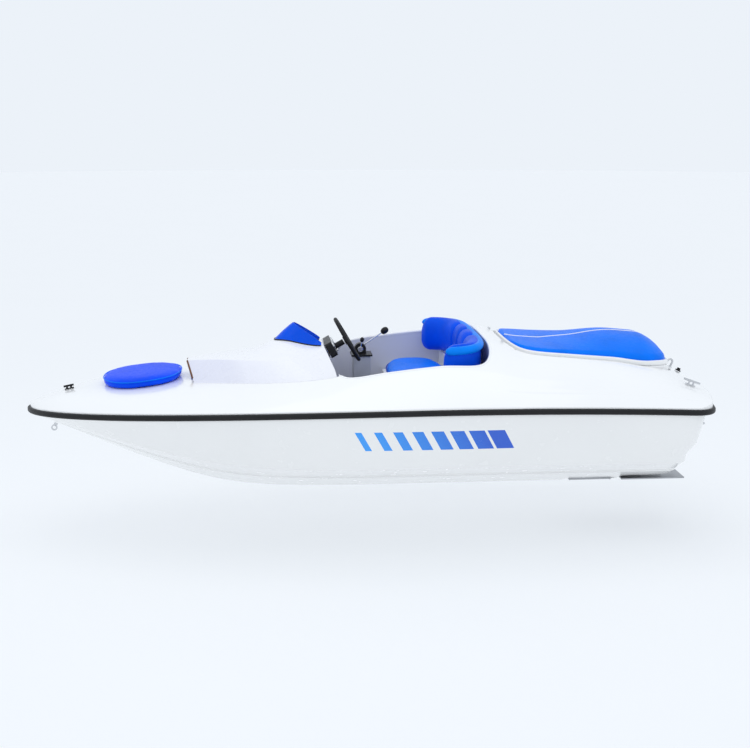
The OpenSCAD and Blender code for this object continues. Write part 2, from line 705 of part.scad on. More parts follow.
module bench_base() {
    back_step_x = seat_front_x - seat_depth - 15;
    rise_h = back_foot_h - 8;
    color("white") intersection() {
        union() {
            translate([cockpit_aft_x, -bench_half_w, sole_h + lining_t + 0.5])
                cube([seat_front_x - 20 - cockpit_aft_x, 2 * bench_half_w, bench_base_h - sole_h - lining_t]);
            translate([cockpit_aft_x, -bench_half_w, sole_h + lining_t + 0.5])
                cube([back_step_x - cockpit_aft_x, 2 * bench_half_w, rise_h - sole_h - lining_t]);
        }
        translate([0, 0, sole_h]) linear_extrude(cockpit_top) well_plan(-lining_t - 2);
    }
}

// Rounded slab on a plan given by its half-length, half-width and squareness
function pillow_rows(x0, l, w, p, off) = [for (a = [85, 75, 64, 52, 39, 26, 13, 0, -13, -26, -39, -52, -64, -75, -85])
    let (u = sin(a), half = (w - off) * pow(1 - pow(abs(u), p), 1 / p))
    [for (v = [-1, -0.93, -0.8, -0.6, -0.4, -0.2, 0, 0.2, 0.4, 0.6, 0.8, 0.93, 1]) [x0 + (l - off) * u, -v * half]]];
function pillow_share(row, col, rows, cols) = 
    let (u = abs(2 * row / (rows - 1) - 1), v = abs(2 * col / (cols - 1) - 1)) max(pow(u, 6), pow(v, 6));

module bench_cushion() {
    l = seat_depth / 2;
    rows = pillow_rows(seat_front_x - l, l, seat_half_w, 3.2, 0);
    n = len(rows);
    m = len(rows[0]);
    top = [for (r = [0 : n - 1]) [for (c = [0 : m - 1]) seat_top_h - 45 * pillow_share(r, c, n, m)]];
    foot = [for (r = [0 : n - 1]) [for (c = [0 : m - 1]) seat_top_h - seat_t]];
    color([0, 0.42, 1]) slab(lifted(rows, top), lifted(rows, foot));
}

// Backrest: a rounded section carried round a U that opens forward
function back_path(a, off) = [
    back_open_x - (back_depth + off) * pow(cos(a), back_square),
    (back_half_w + off) * pow(abs(sin(a)), back_square) * sign(a)];
back_section = [[-0.5, 0.1], [-0.36, 0], [0.36, 0], [0.5, 0.1], [0.5, 0.82], [0.34, 0.97], [0, 1.0], [-0.36, 0.95], [-0.5, 0.8]];
module backrest() {
    angles = [-88, -80, -70, -60, -50, -40, -30, -20, -10, 0.01, 10, 20, 30, 40, 50, 60, 70, 80, 88];
    rows = [for (i = [len(angles) - 1 : -1 : 0]) let (a = angles[i]) [for (s = back_section)
        let (p = back_path(a, s[0] * back_t)) [p[0], p[1], mix(back_foot_h, back_top_h - 22 * pow(abs(a) / 90, 2), s[1])]]];
    color([0, 0.3, 0.95]) sweep(rows);
}

module bow_cushion() {
    rows = pillow_rows(bow_cushion_x, bow_cushion_half_l, bow_cushion_half_w, 2.1, 0);
    n = len(rows);
    m = len(rows[0]);
    rim = 22;
    top = [for (r = [0 : n - 1]) [for (c = [0 : m - 1]) let (p = rows[r][c])
        deck_z(p[0], p[1]) + rim + (bow_cushion_t - rim) * (1 - pillow_share(r, c, n, m))]];
    foot = [for (row = rows) [for (p = row) deck_z(p[0], p[1]) + 2]];
    color([0.02, 0.33, 1]) slab(lifted(rows, top), lifted(rows, foot));
}

// ---------------------------------------------------------------- engine hatch

module engine_hatch() {
    rows = hatch_rows(0);
    color("white") slab(lifted(rows, heights(rows, 0)), lifted(rows, heights(rows, -hatch_t)));
}

module hatch_hinges() {
    color("silver") for (y = [-1, 1]) translate([hatch_hinge[0], y * hatch_hinge_y, hatch_hinge[1]])
        rotate([90, 0, 0]) translate([0, 0, -22]) cylinder(r = 7, h = 44);
}
module hatch_latch() {
    x = hatch_aft_x + 13;
    step = 9;
    slope = atan((hatch_z(x + step, 0) - hatch_z(x - step, 0)) / (2 * step));
    color("silver") translate([x, 0, hatch_z(x, 0)]) rotate([0, -slope, 0]) translate([0, 0, 2]) {
        cylinder(r = 9, h = 5);
        cylinder(r = 6, h = 8);
    }
}

module sun_pad(side) {
    inset = 26;
    rows = [for (a = hatch_angles)
        let (x = hatch_mid - 2 + (hatch_len / 2 - inset) * sin(a), w = hatch_half(x, -inset))
        [for (v = [0, 0.05, 0.16, 0.3, 0.45, 0.6, 0.75, 0.88, 0.96, 1])
            [x, mix(pad_split / 2, max(w, pad_split + 10), side > 0 ? 1 - v : v) * side]]];
    n = len(rows);
    m = len(rows[0]);
    function edge(r, c) = max(pow(abs(2 * r / (n - 1) - 1), 8), pow(abs(2 * c / (m - 1) - 1), 8));
    top = [for (r = [0 : n - 1]) [for (c = [0 : m - 1])
        hatch_z(rows[r][c][0], rows[r][c][1]) + pad_t * (1 - 0.5 * edge(r, c))]];
    foot = [for (row = rows) [for (p = row) hatch_z(p[0], p[1]) + pad_lift]];
    color([0, 0.48, 1]) slab(lifted(rows, top), lifted(rows, foot));
}
module sun_pad_port() sun_pad(1);
module sun_pad_starboard() sun_pad(-1);

module engine() {
    block_top = 640;
    color("dimgray") {
        translate([engine_x[0], -190, bay_floor_h + 4]) cube([engine_x[1] - engine_x[0], 380, block_top - bay_floor_h]);
        translate([engine_x[0], -140, bilge_h + 6]) cube([engine_x[1] - engine_x[0], 280, 140]);
    }
}

// ---------------------------------------------------------------- deck fittings

// Stands what is drawn on the deck at x, y, square to its surface and a little off it
module square_to(at, normal) translate(at)
    rotate(acos(normal[2] / norm(normal)), cross([0, 0, 1], normal)) children();
module on_deck(x, y, lift) {
    d = 12;
    square_to([x, y, deck_z(x, y)], [(deck_z(x - d, y) - deck_z(x + d, y)) / (2 * d),
        (deck_z(x, y - d) - deck_z(x, y + d)) / (2 * d), 1]) translate([0, 0, lift]) children();
}
// The transom's x at a height and a distance from the centreline
function transom_x(y, z) = stern_x + lookup(z, transom_profile)
    - stern_camber * (1 - pow(y / (stern_beam / 2), 2));
module on_transom(y, z, lift) {
    d = 12;
    square_to([transom_x(y, z), y, z], [-1, (transom_x(y + d, z) - transom_x(y - d, z)) / (2 * d),
        (transom_x(y, z + d) - transom_x(y, z - d)) / (2 * d)]) translate([0, 0, lift]) children();
}

module bow_light() {
    color("black") on_deck(2065, 0, 2) {
        translate([-30, -9, 0]) cube([60, 18, 6]);
        translate([-14, 0, 0]) cylinder(r = 7, h = 22);
        translate([14, 0, 0]) cylinder(r = 7, h = 22);
        translate([-34, 0, 22]) rotate([0, 90, 0]) cylinder(r = 7, h = 68);
    }
}

module u_bolt(r, rod, leg) {
    rotate([90, 0, 0]) rotate_extrude(angle = 180) translate([r, 0]) circle(r = rod, $fn = 24);
    for (x = [-r, r]) translate([x, 0, -leg]) cylinder(r = rod, h = leg);
}
// Forged eye on the stem, with a bore across the boat for a shackle
bow_eye_at = [2180, 456];
bow_eye_bore_r = 12;
bow_eye_w = 14;
module bow_eye() {
    color("silver") translate([bow_eye_at[0], 0, bow_eye_at[1]]) difference() {
        union() {
            rotate([90, 0, 0]) cylinder(r = bow_eye_bore_r + 9, h = bow_eye_w, center = true);
            rotate([0, 65, 0]) translate([-34, -bow_eye_w / 2, -12]) cube([26, bow_eye_w, 24]);
        }
        rotate([90, 0, 0]) cylinder(r = bow_eye_bore_r, h = bow_eye_w + 2, center = true);
    }
}
module tow_eye() {
    color("silver") on_deck(-2085, 0, 3) {
        cylinder(r = 30, h = 5);
        translate([0, 0, 34]) u_bolt(18, 7, 30);
    }
}
module stern_eyes() {
    z = 540;
    y = 560;
    color("silver") for (m = [0, 1]) mirror([0, m, 0]) on_transom(y, z, 1.5) {
        cylinder(r = 24, h = 5);
        translate([0, 0, 30]) rotate([0, 0, 90]) u_bolt(16, 6, 26);
    }
}
module stern_cleats() {
    x = -2050;
    y = 600;
    color("silver") for (m = [0, 1]) mirror([0, m, 0]) on_deck(x, y, 4) {
        translate([-34, -10, 0]) cube([68, 20, 5]);
        for (dx = [-16, 16]) translate([dx, 0, 0]) cylinder(r = 6, h = 30);
        translate([-58, 0, 30]) rotate([0, 90, 0]) cylinder(r = 7, h = 116);
    }
}
module stern_light() {
    color("black") on_deck(-2160, 0, 3) {
        cylinder(r = 20, h = 9);
        translate([0, 0, 9]) cylinder(r = 12, h = 14);
    }
}
module fuel_cap() {
    color("black") on_deck(-1500, -680, 3) {
        cylinder(r = 38, h = 7);
        translate([0, 0, 7]) cylinder(r = 27, h = 7);
    }
}
module drain_plugs() {
    z = 285;
    color("silver") for (y = [-330, 330])
        on_transom(y, z, 0.5) {
            cylinder(r = 22, h = 5);
            translate([0, 0, 5]) cylinder(r = 11, h = 9);
        }
}

// ---------------------------------------------------------------- jet drive

module intake_grate() {
    bars = 5;
    pitch = 2 * (intake_half_w - 10) / (bars - 1);
    x1 = -1390;
    x0 = -1690;
    color("dimgray") {
        for (i = [0 : bars - 1]) translate([x0, -intake_half_w + 10 + i * pitch - 3, 14]) cube([x1 - x0, 6, 12]);
        for (x = [x0, x1 - 12]) translate([x, -intake_half_w + 1, 14]) cube([12, 2 * intake_half_w - 2, 12]);
    }
}

inner_r = pump_r - pump_wall;
module jet_pump() {
    vanes = 6;
    color("gray") translate([0, 0, pump_h]) {
        difference() {
            union() {
                along_x(tunnel_front_x - 1, pump_aft_x, pump_r, pump_r);
                along_x(tunnel_front_x - 1, tunnel_front_x - 15, pump_r + 24, pump_r + 24);
                along_x(pump_aft_x + 1, cone_aft_x, pump_r, jet_r + 8);
                along_x(cone_aft_x + 1, jet_end_x, jet_r + 6, jet_r + 6);
                translate([bucket_pivot[0], 0, bucket_pivot[1] - pump_h]) rotate([90, 0, 0]) {
                    translate([0, 0, -bucket_side_y + 4]) cylinder(r = 13, h = 2 * bucket_side_y - 8);
                    translate([0, 0, -bucket_side_y - bucket_t - 4])
                        cylinder(r = 7, h = 2 * (bucket_side_y + bucket_t + 4));
                }
            }
            along_x(tunnel_front_x + 5, pump_aft_x, inner_r, inner_r);
            along_x(pump_aft_x + 1, cone_aft_x, inner_r, jet_r);
            along_x(cone_aft_x + 1, jet_end_x - 5, jet_r, jet_r);
        }
        for (side = [-1, 1]) difference() {
            union() {
                translate([nozzle_pivot_x, 0, side * (nozzle_inlet_r + nozzle_wall + 12)])
                    cylinder(r = nozzle_ear_r, h = 9, center = true);
                translate([nozzle_pivot_x, -nozzle_ear_r, side * (nozzle_inlet_r + nozzle_wall + 12) - 4.5])
                    cube([pump_aft_x + 20 - nozzle_pivot_x, 2 * nozzle_ear_r, 9]);
            }
            translate([nozzle_pivot_x, 0, side * (nozzle_inlet_r + nozzle_wall + 12)])
                cylinder(r = pivot_pin_r + pin_play, h = 20, center = true);
        }
        for (i = [0 : vanes - 1]) rotate([i * 360 / vanes, 0, 0])
            translate([pump_aft_x + 1, -3, 24]) cube([18, 6, inner_r - 23]);
        along_x(pump_aft_x + 19, cone_aft_x + 30, 28, 14);
    }
}

module ride_plate() {
    aft_x = stern_x - 70;
    color("gray") translate([aft_x, -tunnel_half_w + 25, ride_plate_h])
        cube([tunnel_front_x - 2 - aft_x, 2 * tunnel_half_w - 50, ride_plate_t]);
}

impeller_x = [tunnel_front_x - 40, tunnel_front_x - 120];
module drive_shaft() {
    color("silver") translate([0, 0, pump_h])
        along_x(engine_x[0] - 6, impeller_x[1], shaft_r, shaft_r);
}
module impeller() {
    blades = 4;
    blade_r = inner_r - tip_gap;
    color("silver") translate([0, 0, pump_h]) difference() {
        union() {
            along_x(impeller_x[0], impeller_x[1], 26, 34);
            for (i = [0 : blades - 1]) rotate([i * 360 / blades, 0, 0])
                translate([(impeller_x[0] + impeller_x[1]) / 2, 0, 20]) rotate([0, 0, 38])
                    translate([-46, -3, 0]) intersection() {
                        cube([92, 6, blade_r]);
                        translate([46, 3, -20]) rotate([0, 0, -38]) rotate([0, 90, 0])
                            cylinder(r = blade_r, h = 72, center = true);
                    }
        }
        along_x(impeller_x[0] + 5, impeller_x[1] - 5, shaft_r + 0.2, shaft_r + 0.2);
    }
}

module steering_nozzle() {
    inlet = nozzle_inlet_r;
    ear_z = inlet + nozzle_wall;
    color("dimgray") translate([nozzle_pivot_x, 0, pump_h]) {
        rotate([0, -90, 0]) rotate_extrude() polygon([
            [inlet, -nozzle_lead], [inlet + nozzle_wall, -nozzle_lead], [inlet + nozzle_wall, 12],
            [jet_r + nozzle_wall, nozzle_len * 0.6], [jet_r + nozzle_wall, nozzle_len],
            [jet_r, nozzle_len], [jet_r, nozzle_len * 0.6], [inlet, 12]]);
        for (side = [-1, 1]) translate([0, 0, side * (ear_z + 6)]) {
            cylinder(r = pivot_pin_r, h = 24, center = true);
            translate([0, 0, -side * 3.5]) cylinder(r = nozzle_ear_r - 4, h = 6, center = true);
        }
    }
}

// Drawn raised, as it is when the boat drives forward
module reverse_bucket() {
    in_y = bucket_side_y;
    out_y = in_y + bucket_t;
    color("dimgray") translate([bucket_pivot[0], 0, bucket_pivot[1]]) rotate([90, 0, 0]) difference() {
        union() {
            rotate([0, 0, 180 - bucket_high]) rotate_extrude(angle = bucket_high - bucket_low)
                polygon([[8, -out_y], [bucket_r + bucket_t, -out_y], [bucket_r + bucket_t, out_y], [8, out_y],
                    [8, in_y], [bucket_r, in_y], [bucket_r, -in_y], [8, -in_y]]);
            for (side = [-1, 1])
                translate([0, 0, side * (in_y + bucket_t / 2)]) cylinder(r = 20, h = bucket_t + 2, center = true);
        }
        cylinder(r = 7 + pin_play, h = 400, center = true);
    }
}

afloat() hull_shell();
afloat() deck();
afloat() rub_rail();
afloat() cockpit_lining();
afloat() cockpit_sole();
afloat() console_hood();
afloat() console_trim();
afloat() windscreen();
afloat() dash_panel();
afloat() gauges();
afloat() ignition_switch();
afloat() steering_column();
afloat() steering_wheel();
afloat() control_pedestal();
afloat() control_head();
afloat() throttle_lever();
afloat() shift_lever();
afloat() bench_base();
afloat() bench_cushion();
afloat() backrest();
afloat() bow_cushion();
afloat() engine_hatch();
afloat() hatch_hinges();
afloat() hatch_latch();
afloat() sun_pad_port();
afloat() sun_pad_starboard();
afloat() engine();
afloat() bow_light();
afloat() bow_eye();
afloat() tow_eye();
afloat() stern_eyes();
afloat() stern_cleats();
afloat() stern_light();
afloat() fuel_cap();
afloat() drain_plugs();
afloat() intake_grate();
afloat() jet_pump();
afloat() ride_plate();
afloat() drive_shaft();
afloat() impeller();
afloat() steering_nozzle();
afloat() reverse_bucket();
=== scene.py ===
"""Looks of a small jet boat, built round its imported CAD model."""

import math

import bmesh
import bpy
import numpy as np
from mathutils import Matrix, Vector

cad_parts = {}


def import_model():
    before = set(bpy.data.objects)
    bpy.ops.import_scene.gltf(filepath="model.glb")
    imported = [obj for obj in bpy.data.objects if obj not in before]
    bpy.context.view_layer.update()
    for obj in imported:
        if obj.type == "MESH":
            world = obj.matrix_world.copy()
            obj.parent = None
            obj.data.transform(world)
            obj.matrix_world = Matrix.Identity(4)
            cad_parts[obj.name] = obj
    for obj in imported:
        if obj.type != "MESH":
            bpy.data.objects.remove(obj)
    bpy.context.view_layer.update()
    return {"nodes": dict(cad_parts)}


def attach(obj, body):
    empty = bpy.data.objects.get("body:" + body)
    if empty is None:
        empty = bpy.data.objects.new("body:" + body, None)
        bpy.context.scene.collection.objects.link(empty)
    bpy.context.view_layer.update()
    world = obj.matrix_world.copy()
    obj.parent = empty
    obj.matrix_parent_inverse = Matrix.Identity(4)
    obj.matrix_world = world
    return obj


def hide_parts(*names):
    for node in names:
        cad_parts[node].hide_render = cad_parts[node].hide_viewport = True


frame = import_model()

# ---- sizes
# The lines of the boat are worked out in millimetres, with x forward from the
# frame's origin and z up from the keel. DRAFT is how deep the keel lies.
DRAFT = 260
HULL_LENGTH = 4560
HULL_BEAM = 1880
STERN_BEAM = 1750
SHEER_H = 720
CHINE_SHARE = 338 / SHEER_H
CHINE_BEAM_SHARE = 1620 / HULL_BEAM
BOW_CHINE_SHARE = 0.60
CHINE_TURN_X = 300
BOW_DROP = 125
STERN_DROP = 50
TOP_SHEER_X = -400
STERN_X = -2130
STERN_CAMBER = 100
STERN_CORNER_R = 120
BOW_X = HULL_LENGTH + STERN_X - STERN_CAMBER
WIDEST_X = -200
STEM_SLOPE, STEM_BLEND, STEM_LEN, FOREFOOT_RISE = 0.4, 200, 1260, 66
TRANSOM_PROFILE = [(0, 150), (360, 150), (430, 88), (620, 45), (660, 45), (SHEER_H, 0)]
TAIL_START_X = -1700
DECK_LIP = 27
DECK_SQUARE = 3.6
CROWN = [
    (-2300, 700), (-2230, 738), (-2060, 822), (-1960, 866), (-1880, 900), (-1600, 960),
    (-1200, 1000), (-950, 1020), (-760, 1078), (-500, 1102), (-400, 1106), (-200, 1076),
    (0, 1040), (170, 992), (280, 952), (775, 862), (1250, 802), (1500, 790),
    (1830, 764), (2100, 716), (2330, 640),
]
CROWN_BLEND = 40
RAIL_H = 38
RAIL_W = 20
RAIL_GAP = 1.5


def clamp(value, low=0.0, high=1.0):
    return max(low, min(high, value))


def mix(a, b, t):
    return a + (b - a) * t


def smooth(t):
    t = clamp(t)
    return t * t * (3 - 2 * t)


def lookup(x, table):
    return float(np.interp(x, [p[0] for p in table], [p[1] for p in table]))


def blended(x, table, reach):
    """The table's value at x, with its corners rounded off over a reach."""
    return (lookup(x - reach, table) + 2 * lookup(x, table) + lookup(x + reach, table)) / 4


def rounded(share, power=0.6):
    """A cosine or sine squared off, for an outline between an oval and a box."""
    return math.copysign(abs(share) ** power, share)


def around(count):
    """Evenly spaced angles of a full turn."""
    return [k * math.tau / count for k in range(count)]


def mirrored(port):
    """A line on the port side, carried on back along its mirror image."""
    return port + [(p[0], -p[1], *p[2:]) for p in reversed(port)]


def sheer_z(x):
    if x > TOP_SHEER_X:
        return SHEER_H - BOW_DROP * ((x - TOP_SHEER_X) / (BOW_X - TOP_SHEER_X)) ** 2
    return SHEER_H - STERN_DROP * ((TOP_SHEER_X - max(x, STERN_X)) / (TOP_SHEER_X - STERN_X)) ** 2


def keel_z(x):
    stem = STEM_SLOPE * STEM_BLEND * math.log(1 + math.exp((x - BOW_X + STEM_LEN) / STEM_BLEND))
    return stem + FOREFOOT_RISE * max(0, x / BOW_X) ** 2


def half_beam(x):
    if x > WIDEST_X:
        return HULL_BEAM / 2 * max(0, 1 - ((x - WIDEST_X) / (BOW_X - WIDEST_X)) ** 2) ** 0.6
    return mix(HULL_BEAM, STERN_BEAM, ((WIDEST_X - x) / (WIDEST_X - STERN_X)) ** 2) / 2


def chine_y(x):
    return half_beam(x) * mix(
        CHINE_BEAM_SHARE, BOW_CHINE_SHARE, clamp((x - CHINE_TURN_X) / (BOW_X - CHINE_TURN_X)) ** 1.5)


def chine_z(x):
    return mix(keel_z(x), sheer_z(x), CHINE_SHARE)


def crown_z(x):
    return blended(x, CROWN, CROWN_BLEND)


def deck_z(x, y):
    foot = sheer_z(x) + DECK_LIP
    side = min(1, abs(y) / max(1, half_beam(x)))
    return mix(foot, max(foot, crown_z(x)), 1 - side ** DECK_SQUARE)


def corner_x(share):
    y = clamp((abs(share) * STERN_BEAM / 2 - STERN_BEAM / 2 + STERN_CORNER_R) / STERN_CORNER_R)
    return STERN_X + STERN_CORNER_R * (1 - math.sqrt(1 - y * y))


def stern_edge(share):
    x = corner_x(share)
    y = half_beam(x) * abs(share)
    return x - STERN_CAMBER * (1 - min(1, y / (STERN_BEAM / 2)) ** 2)


# ---- mesh helpers
MM = 0.001


def world(p):
    """A point in boat millimetres as metres in the frame."""
    return (p[0] * MM, p[1] * MM, (p[2] - DRAFT) * MM)


def obj_from(name, points, faces, in_mm=True):
    me = bpy.data.meshes.new(name)
    me.from_pydata([world(p) if in_mm else tuple(p) for p in points], [], faces)
    bm = bmesh.new()
    bm.from_mesh(me)
    bmesh.ops.remove_doubles(bm, verts=bm.verts, dist=1e-6)
    bmesh.ops.dissolve_degenerate(bm, edges=bm.edges, dist=1e-7)
    bmesh.ops.recalc_face_normals(bm, faces=bm.faces)
    bm.to_mesh(me)
    bm.free()
    obj = bpy.data.objects.new(name, me)
    bpy.context.scene.collection.objects.link(obj)
    return obj


def rings_faces(count, size, closed_path=False, closed_ring=True, caps=True):
    """Faces that join rings of points in order."""
    last = count if closed_path else count - 1
    span = size if closed_ring else size - 1
    faces = [
        (r * size + j, r * size + (j + 1) % size,
         (r + 1) % count * size + (j + 1) % size, (r + 1) % count * size + j)
        for r in range(last) for j in range(span)]
    if caps and not closed_path:
        faces += [tuple(range(size)), tuple((count - 1) * size + j for j in range(size))]
    return faces


def loft(name, rings, **kinds):
    rings = [list(r) for r in rings]
    return obj_from(name, [p for r in rings for p in r], rings_faces(len(rings), len(rings[0]), **kinds))


def slab(name, top, bottom):
    """A closed slab between two grids of points."""
    rows, cols = len(top), len(top[0])
    half = rows * cols
    faces = []
    for r in range(rows - 1):
        for c in range(cols - 1):
            a = r * cols + c
            faces.append((a, a + 1, a + cols + 1, a + cols))
            faces.append((a + half, a + cols + half, a + cols + 1 + half, a + 1 + half))
    rim = [(0, c, 0, c + 1) for c in range(cols - 1)]
    rim += [(rows - 1, c, rows - 1, c + 1) for c in range(cols - 1)]
    rim += [(r, 0, r + 1, 0) for r in range(rows - 1)]
    rim += [(r, cols - 1, r + 1, cols - 1) for r in range(rows - 1)]
    for r0, c0, r1, c1 in rim:
        a, b = r0 * cols + c0, r1 * cols + c1
        faces.append((a, b, b + half, a + half))
    points = [p for row in top for p in row] + [p for row in bottom for p in row]
    return obj_from(name, points, faces)


def prism(name, outline, z0, z1):
    n = len(outline)
    points = [(x, y, z0) for x, y in outline] + [(x, y, z1) for x, y in outline]
    faces = [tuple(range(n)), tuple(range(n, 2 * n))]
    faces += [(i, (i + 1) % n, (i + 1) % n + n, i + n) for i in range(n)]
    return obj_from(name, points, faces)


def block(name, low, high):
    return prism(name, [(low[0], low[1]), (high[0], low[1]), (high[0], high[1]), (low[0], high[1])],
                 low[2], high[2])


def applied(obj):
    """Replaces the object's mesh with what its modifiers make of it."""
    dg = bpy.context.evaluated_depsgraph_get()
    me = bpy.data.meshes.new_from_object(obj.evaluated_get(dg))
    old = obj.data
    obj.modifiers.clear()
    obj.data = me
    bpy.data.meshes.remove(old)
    return obj


def cut(obj, *cutters, operation="DIFFERENCE"):
    for c in cutters:
        m = obj.modifiers.new("cut", "BOOLEAN")
        m.operation = operation
        m.solver = "MANIFOLD"
        m.object = c
    applied(obj)
    for c in cutters:
        bpy.data.objects.remove(c, do_unlink=True)
    return obj


def shade(obj, angle=35):
    obj.data.shade_smooth()
    obj.data.set_sharp_from_angle(angle=math.radians(angle))
    return obj


def place(obj, body, material, slot_name, *nodes, angle=35):
    """Gives a finished piece its shading, material, body and the nodes it stands for."""
    shade(obj, angle)
    obj.data.materials.clear()
    obj.data.materials.append(material)
    if nodes:
        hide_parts(*nodes)
    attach(obj, body)
    return obj


def tube(name, path, radius, closed=False, sides=12):
    """A round tube along a path, in boat millimetres; radius is a number or a list."""
    n = len(path)
    rad = radius if isinstance(radius, (list, tuple)) else [radius] * n
    rings = []
    side = None
    for i in range(n):
        a = Vector(path[(i - 1) % n] if closed or i else path[0])
        b = Vector(path[(i + 1) % n] if closed or i < n - 1 else path[-1])
        t = (b - a).normalized()
        if side is None:
            side = t.cross(Vector((0, 0, 1)))
            if side.length < 0.1:
                side = t.cross(Vector((0, 1, 0)))
        side = (side - t * side.dot(t)).normalized()
        up = side.cross(t)
        rings.append([Vector(path[i]) + rad[i] * (side * math.cos(turn) + up * math.sin(turn))
                      for turn in around(sides)])
    return loft(name, rings, closed_path=closed)


def lathe(name, profile, sides=64):
    """A turned piece about +Z: profile points are (radius, height), from axis to axis."""
    rings = [[(r * math.cos(a), r * math.sin(a), z) for r, z in profile] for a in around(sides)]
    return obj_from(name, [p for r in rings for p in r],
                    rings_faces(sides, len(profile), closed_path=True, closed_ring=False, caps=False),
                    in_mm=False)


def set_on(obj, matrix, scale=MM):
    """Moves a local mesh in millimetres onto the frame by a matrix in metres."""
    obj.data.transform(matrix @ Matrix.Scale(scale, 4))
    return obj


# ---- materials
def tree(name, **inputs):
    """A new material with its nodes and shader, and these of the shader's values set."""
    m = bpy.data.materials.new(name)
    m.use_nodes = True
    nt = m.node_tree
    bsdf = nt.nodes["Principled BSDF"]
    for k, v in inputs.items():
        bsdf.inputs[k.replace("_", " ")].default_value = v
    return m, nt, bsdf


def add(nt, kind, links=None, props=None, **inputs):
    n = nt.nodes.new(kind)
    for k, v in (props or {}).items():
        setattr(n, k, v)
    for k, v in inputs.items():
        n.inputs[k.replace("_", " ")].default_value = v
    for k, v in (links or {}).items():
        nt.links.new(v, n.inputs[k])
    return n


def mathn(nt, op, a, b=None, c=None):
    n = nt.nodes.new("ShaderNodeMath")
    n.operation = op
    for i, v in enumerate((a, b, c)):
        if v is None:
            continue
        if isinstance(v, (int, float)):
            n.inputs[i].default_value = v
        else:
            nt.links.new(v, n.inputs[i])
    return n.outputs[0]


def coords(nt):
    return add(nt, "ShaderNodeTexCoord").outputs["Object"]


def noise_fac(nt, scale, detail=3.0, rough=0.5, vector=None):
    n = add(nt, "ShaderNodeTexNoise", {"Vector": vector or coords(nt)},
            Scale=scale, Detail=detail, Roughness=rough)
    return n.outputs["Fac"]


def ramp(nt, fac, low, high, a=0.0, b=1.0):
    """A colour that runs from low to high as fac goes from a to b."""
    r = nt.nodes.new("ShaderNodeValToRGB")
    r.color_ramp.elements[0].position = a
    r.color_ramp.elements[1].position = b
    r.color_ramp.elements[0].color = (*low, 1)
    r.color_ramp.elements[1].color = (*high, 1)
    nt.links.new(fac, r.inputs["Fac"])
    return r.outputs["Color"]


def bump(nt, bsdf, height, distance, strength=1.0, after=None):
    b = add(nt, "ShaderNodeBump", {"Height": height}, Distance=distance, Strength=strength)
    if after is not None:
        nt.links.new(after, b.inputs["Normal"])
    nt.links.new(b.outputs["Normal"], bsdf.inputs["Normal"])
    return b.outputs["Normal"]


def varied(nt, bsdf, colour, spread=0.05, scale=3.0, rough=None, rough_spread=0.08):
    """A base colour and roughness that wander a little over the surface."""
    dark = tuple(c * (1 - spread) for c in colour)
    light = tuple(min(1, c * (1 + spread)) for c in colour)
    fac = noise_fac(nt, scale, 5)
    nt.links.new(ramp(nt, fac, dark, light, 0.3, 0.7), bsdf.inputs["Base Color"])
    if rough is not None:
        lo, hi = rough - rough_spread / 2, rough + rough_spread / 2
        fine = noise_fac(nt, scale * 9, 4)
        nt.links.new(ramp(nt, fine, (lo,) * 3, (hi,) * 3, 0.3, 0.7), bsdf.inputs["Roughness"])


def gelcoat(name, colour, rough=0.22, edge=6.0, stripes=False):
    """Polished moulded gelcoat: faint waviness, a clear coat and softened moulding edges."""
    m, nt, bsdf = tree(name, Coat_Weight=0.5, Coat_Roughness=0.08)
    varied(nt, bsdf, colour, 0.012, 1.6, rough, 0.06)
    softened = add(nt, "ShaderNodeBevel", props={"samples": 6}, Radius=edge * MM)
    bump(nt, bsdf, noise_fac(nt, 14, 2), 0.0006, 0.35, softened.outputs["Normal"])
    if stripes:
        add_stripes(nt, bsdf)
    return m


# Side graphic: slanted bars in two blues between two heights, fading out forward
STRIPE_Z = (0.205, 0.335)
STRIPE_X = (-0.945, 0.03)
STRIPE_SLANT = 0.55
STRIPE_PITCH = 0.13
STRIPE_FILL, STRIPE_FADE = 0.93, 0.62


def overpaint(nt, bsdf, share, colour, blend="MIX"):
    """Lays a colour over the shader's own, as strongly as share says."""
    base = bsdf.inputs["Base Color"].links[0].from_socket
    paint = add(nt, "ShaderNodeMix", props={"data_type": "RGBA", "blend_type": blend})
    factor, under, over = (paint.inputs[k] for k in (0, 6, 7))
    nt.links.new(share, factor)
    nt.links.new(base, under)
    if isinstance(colour, tuple):
        over.default_value = (*colour, 1)
    else:
        nt.links.new(colour, over)
    nt.links.new(paint.outputs[2], bsdf.inputs["Base Color"])


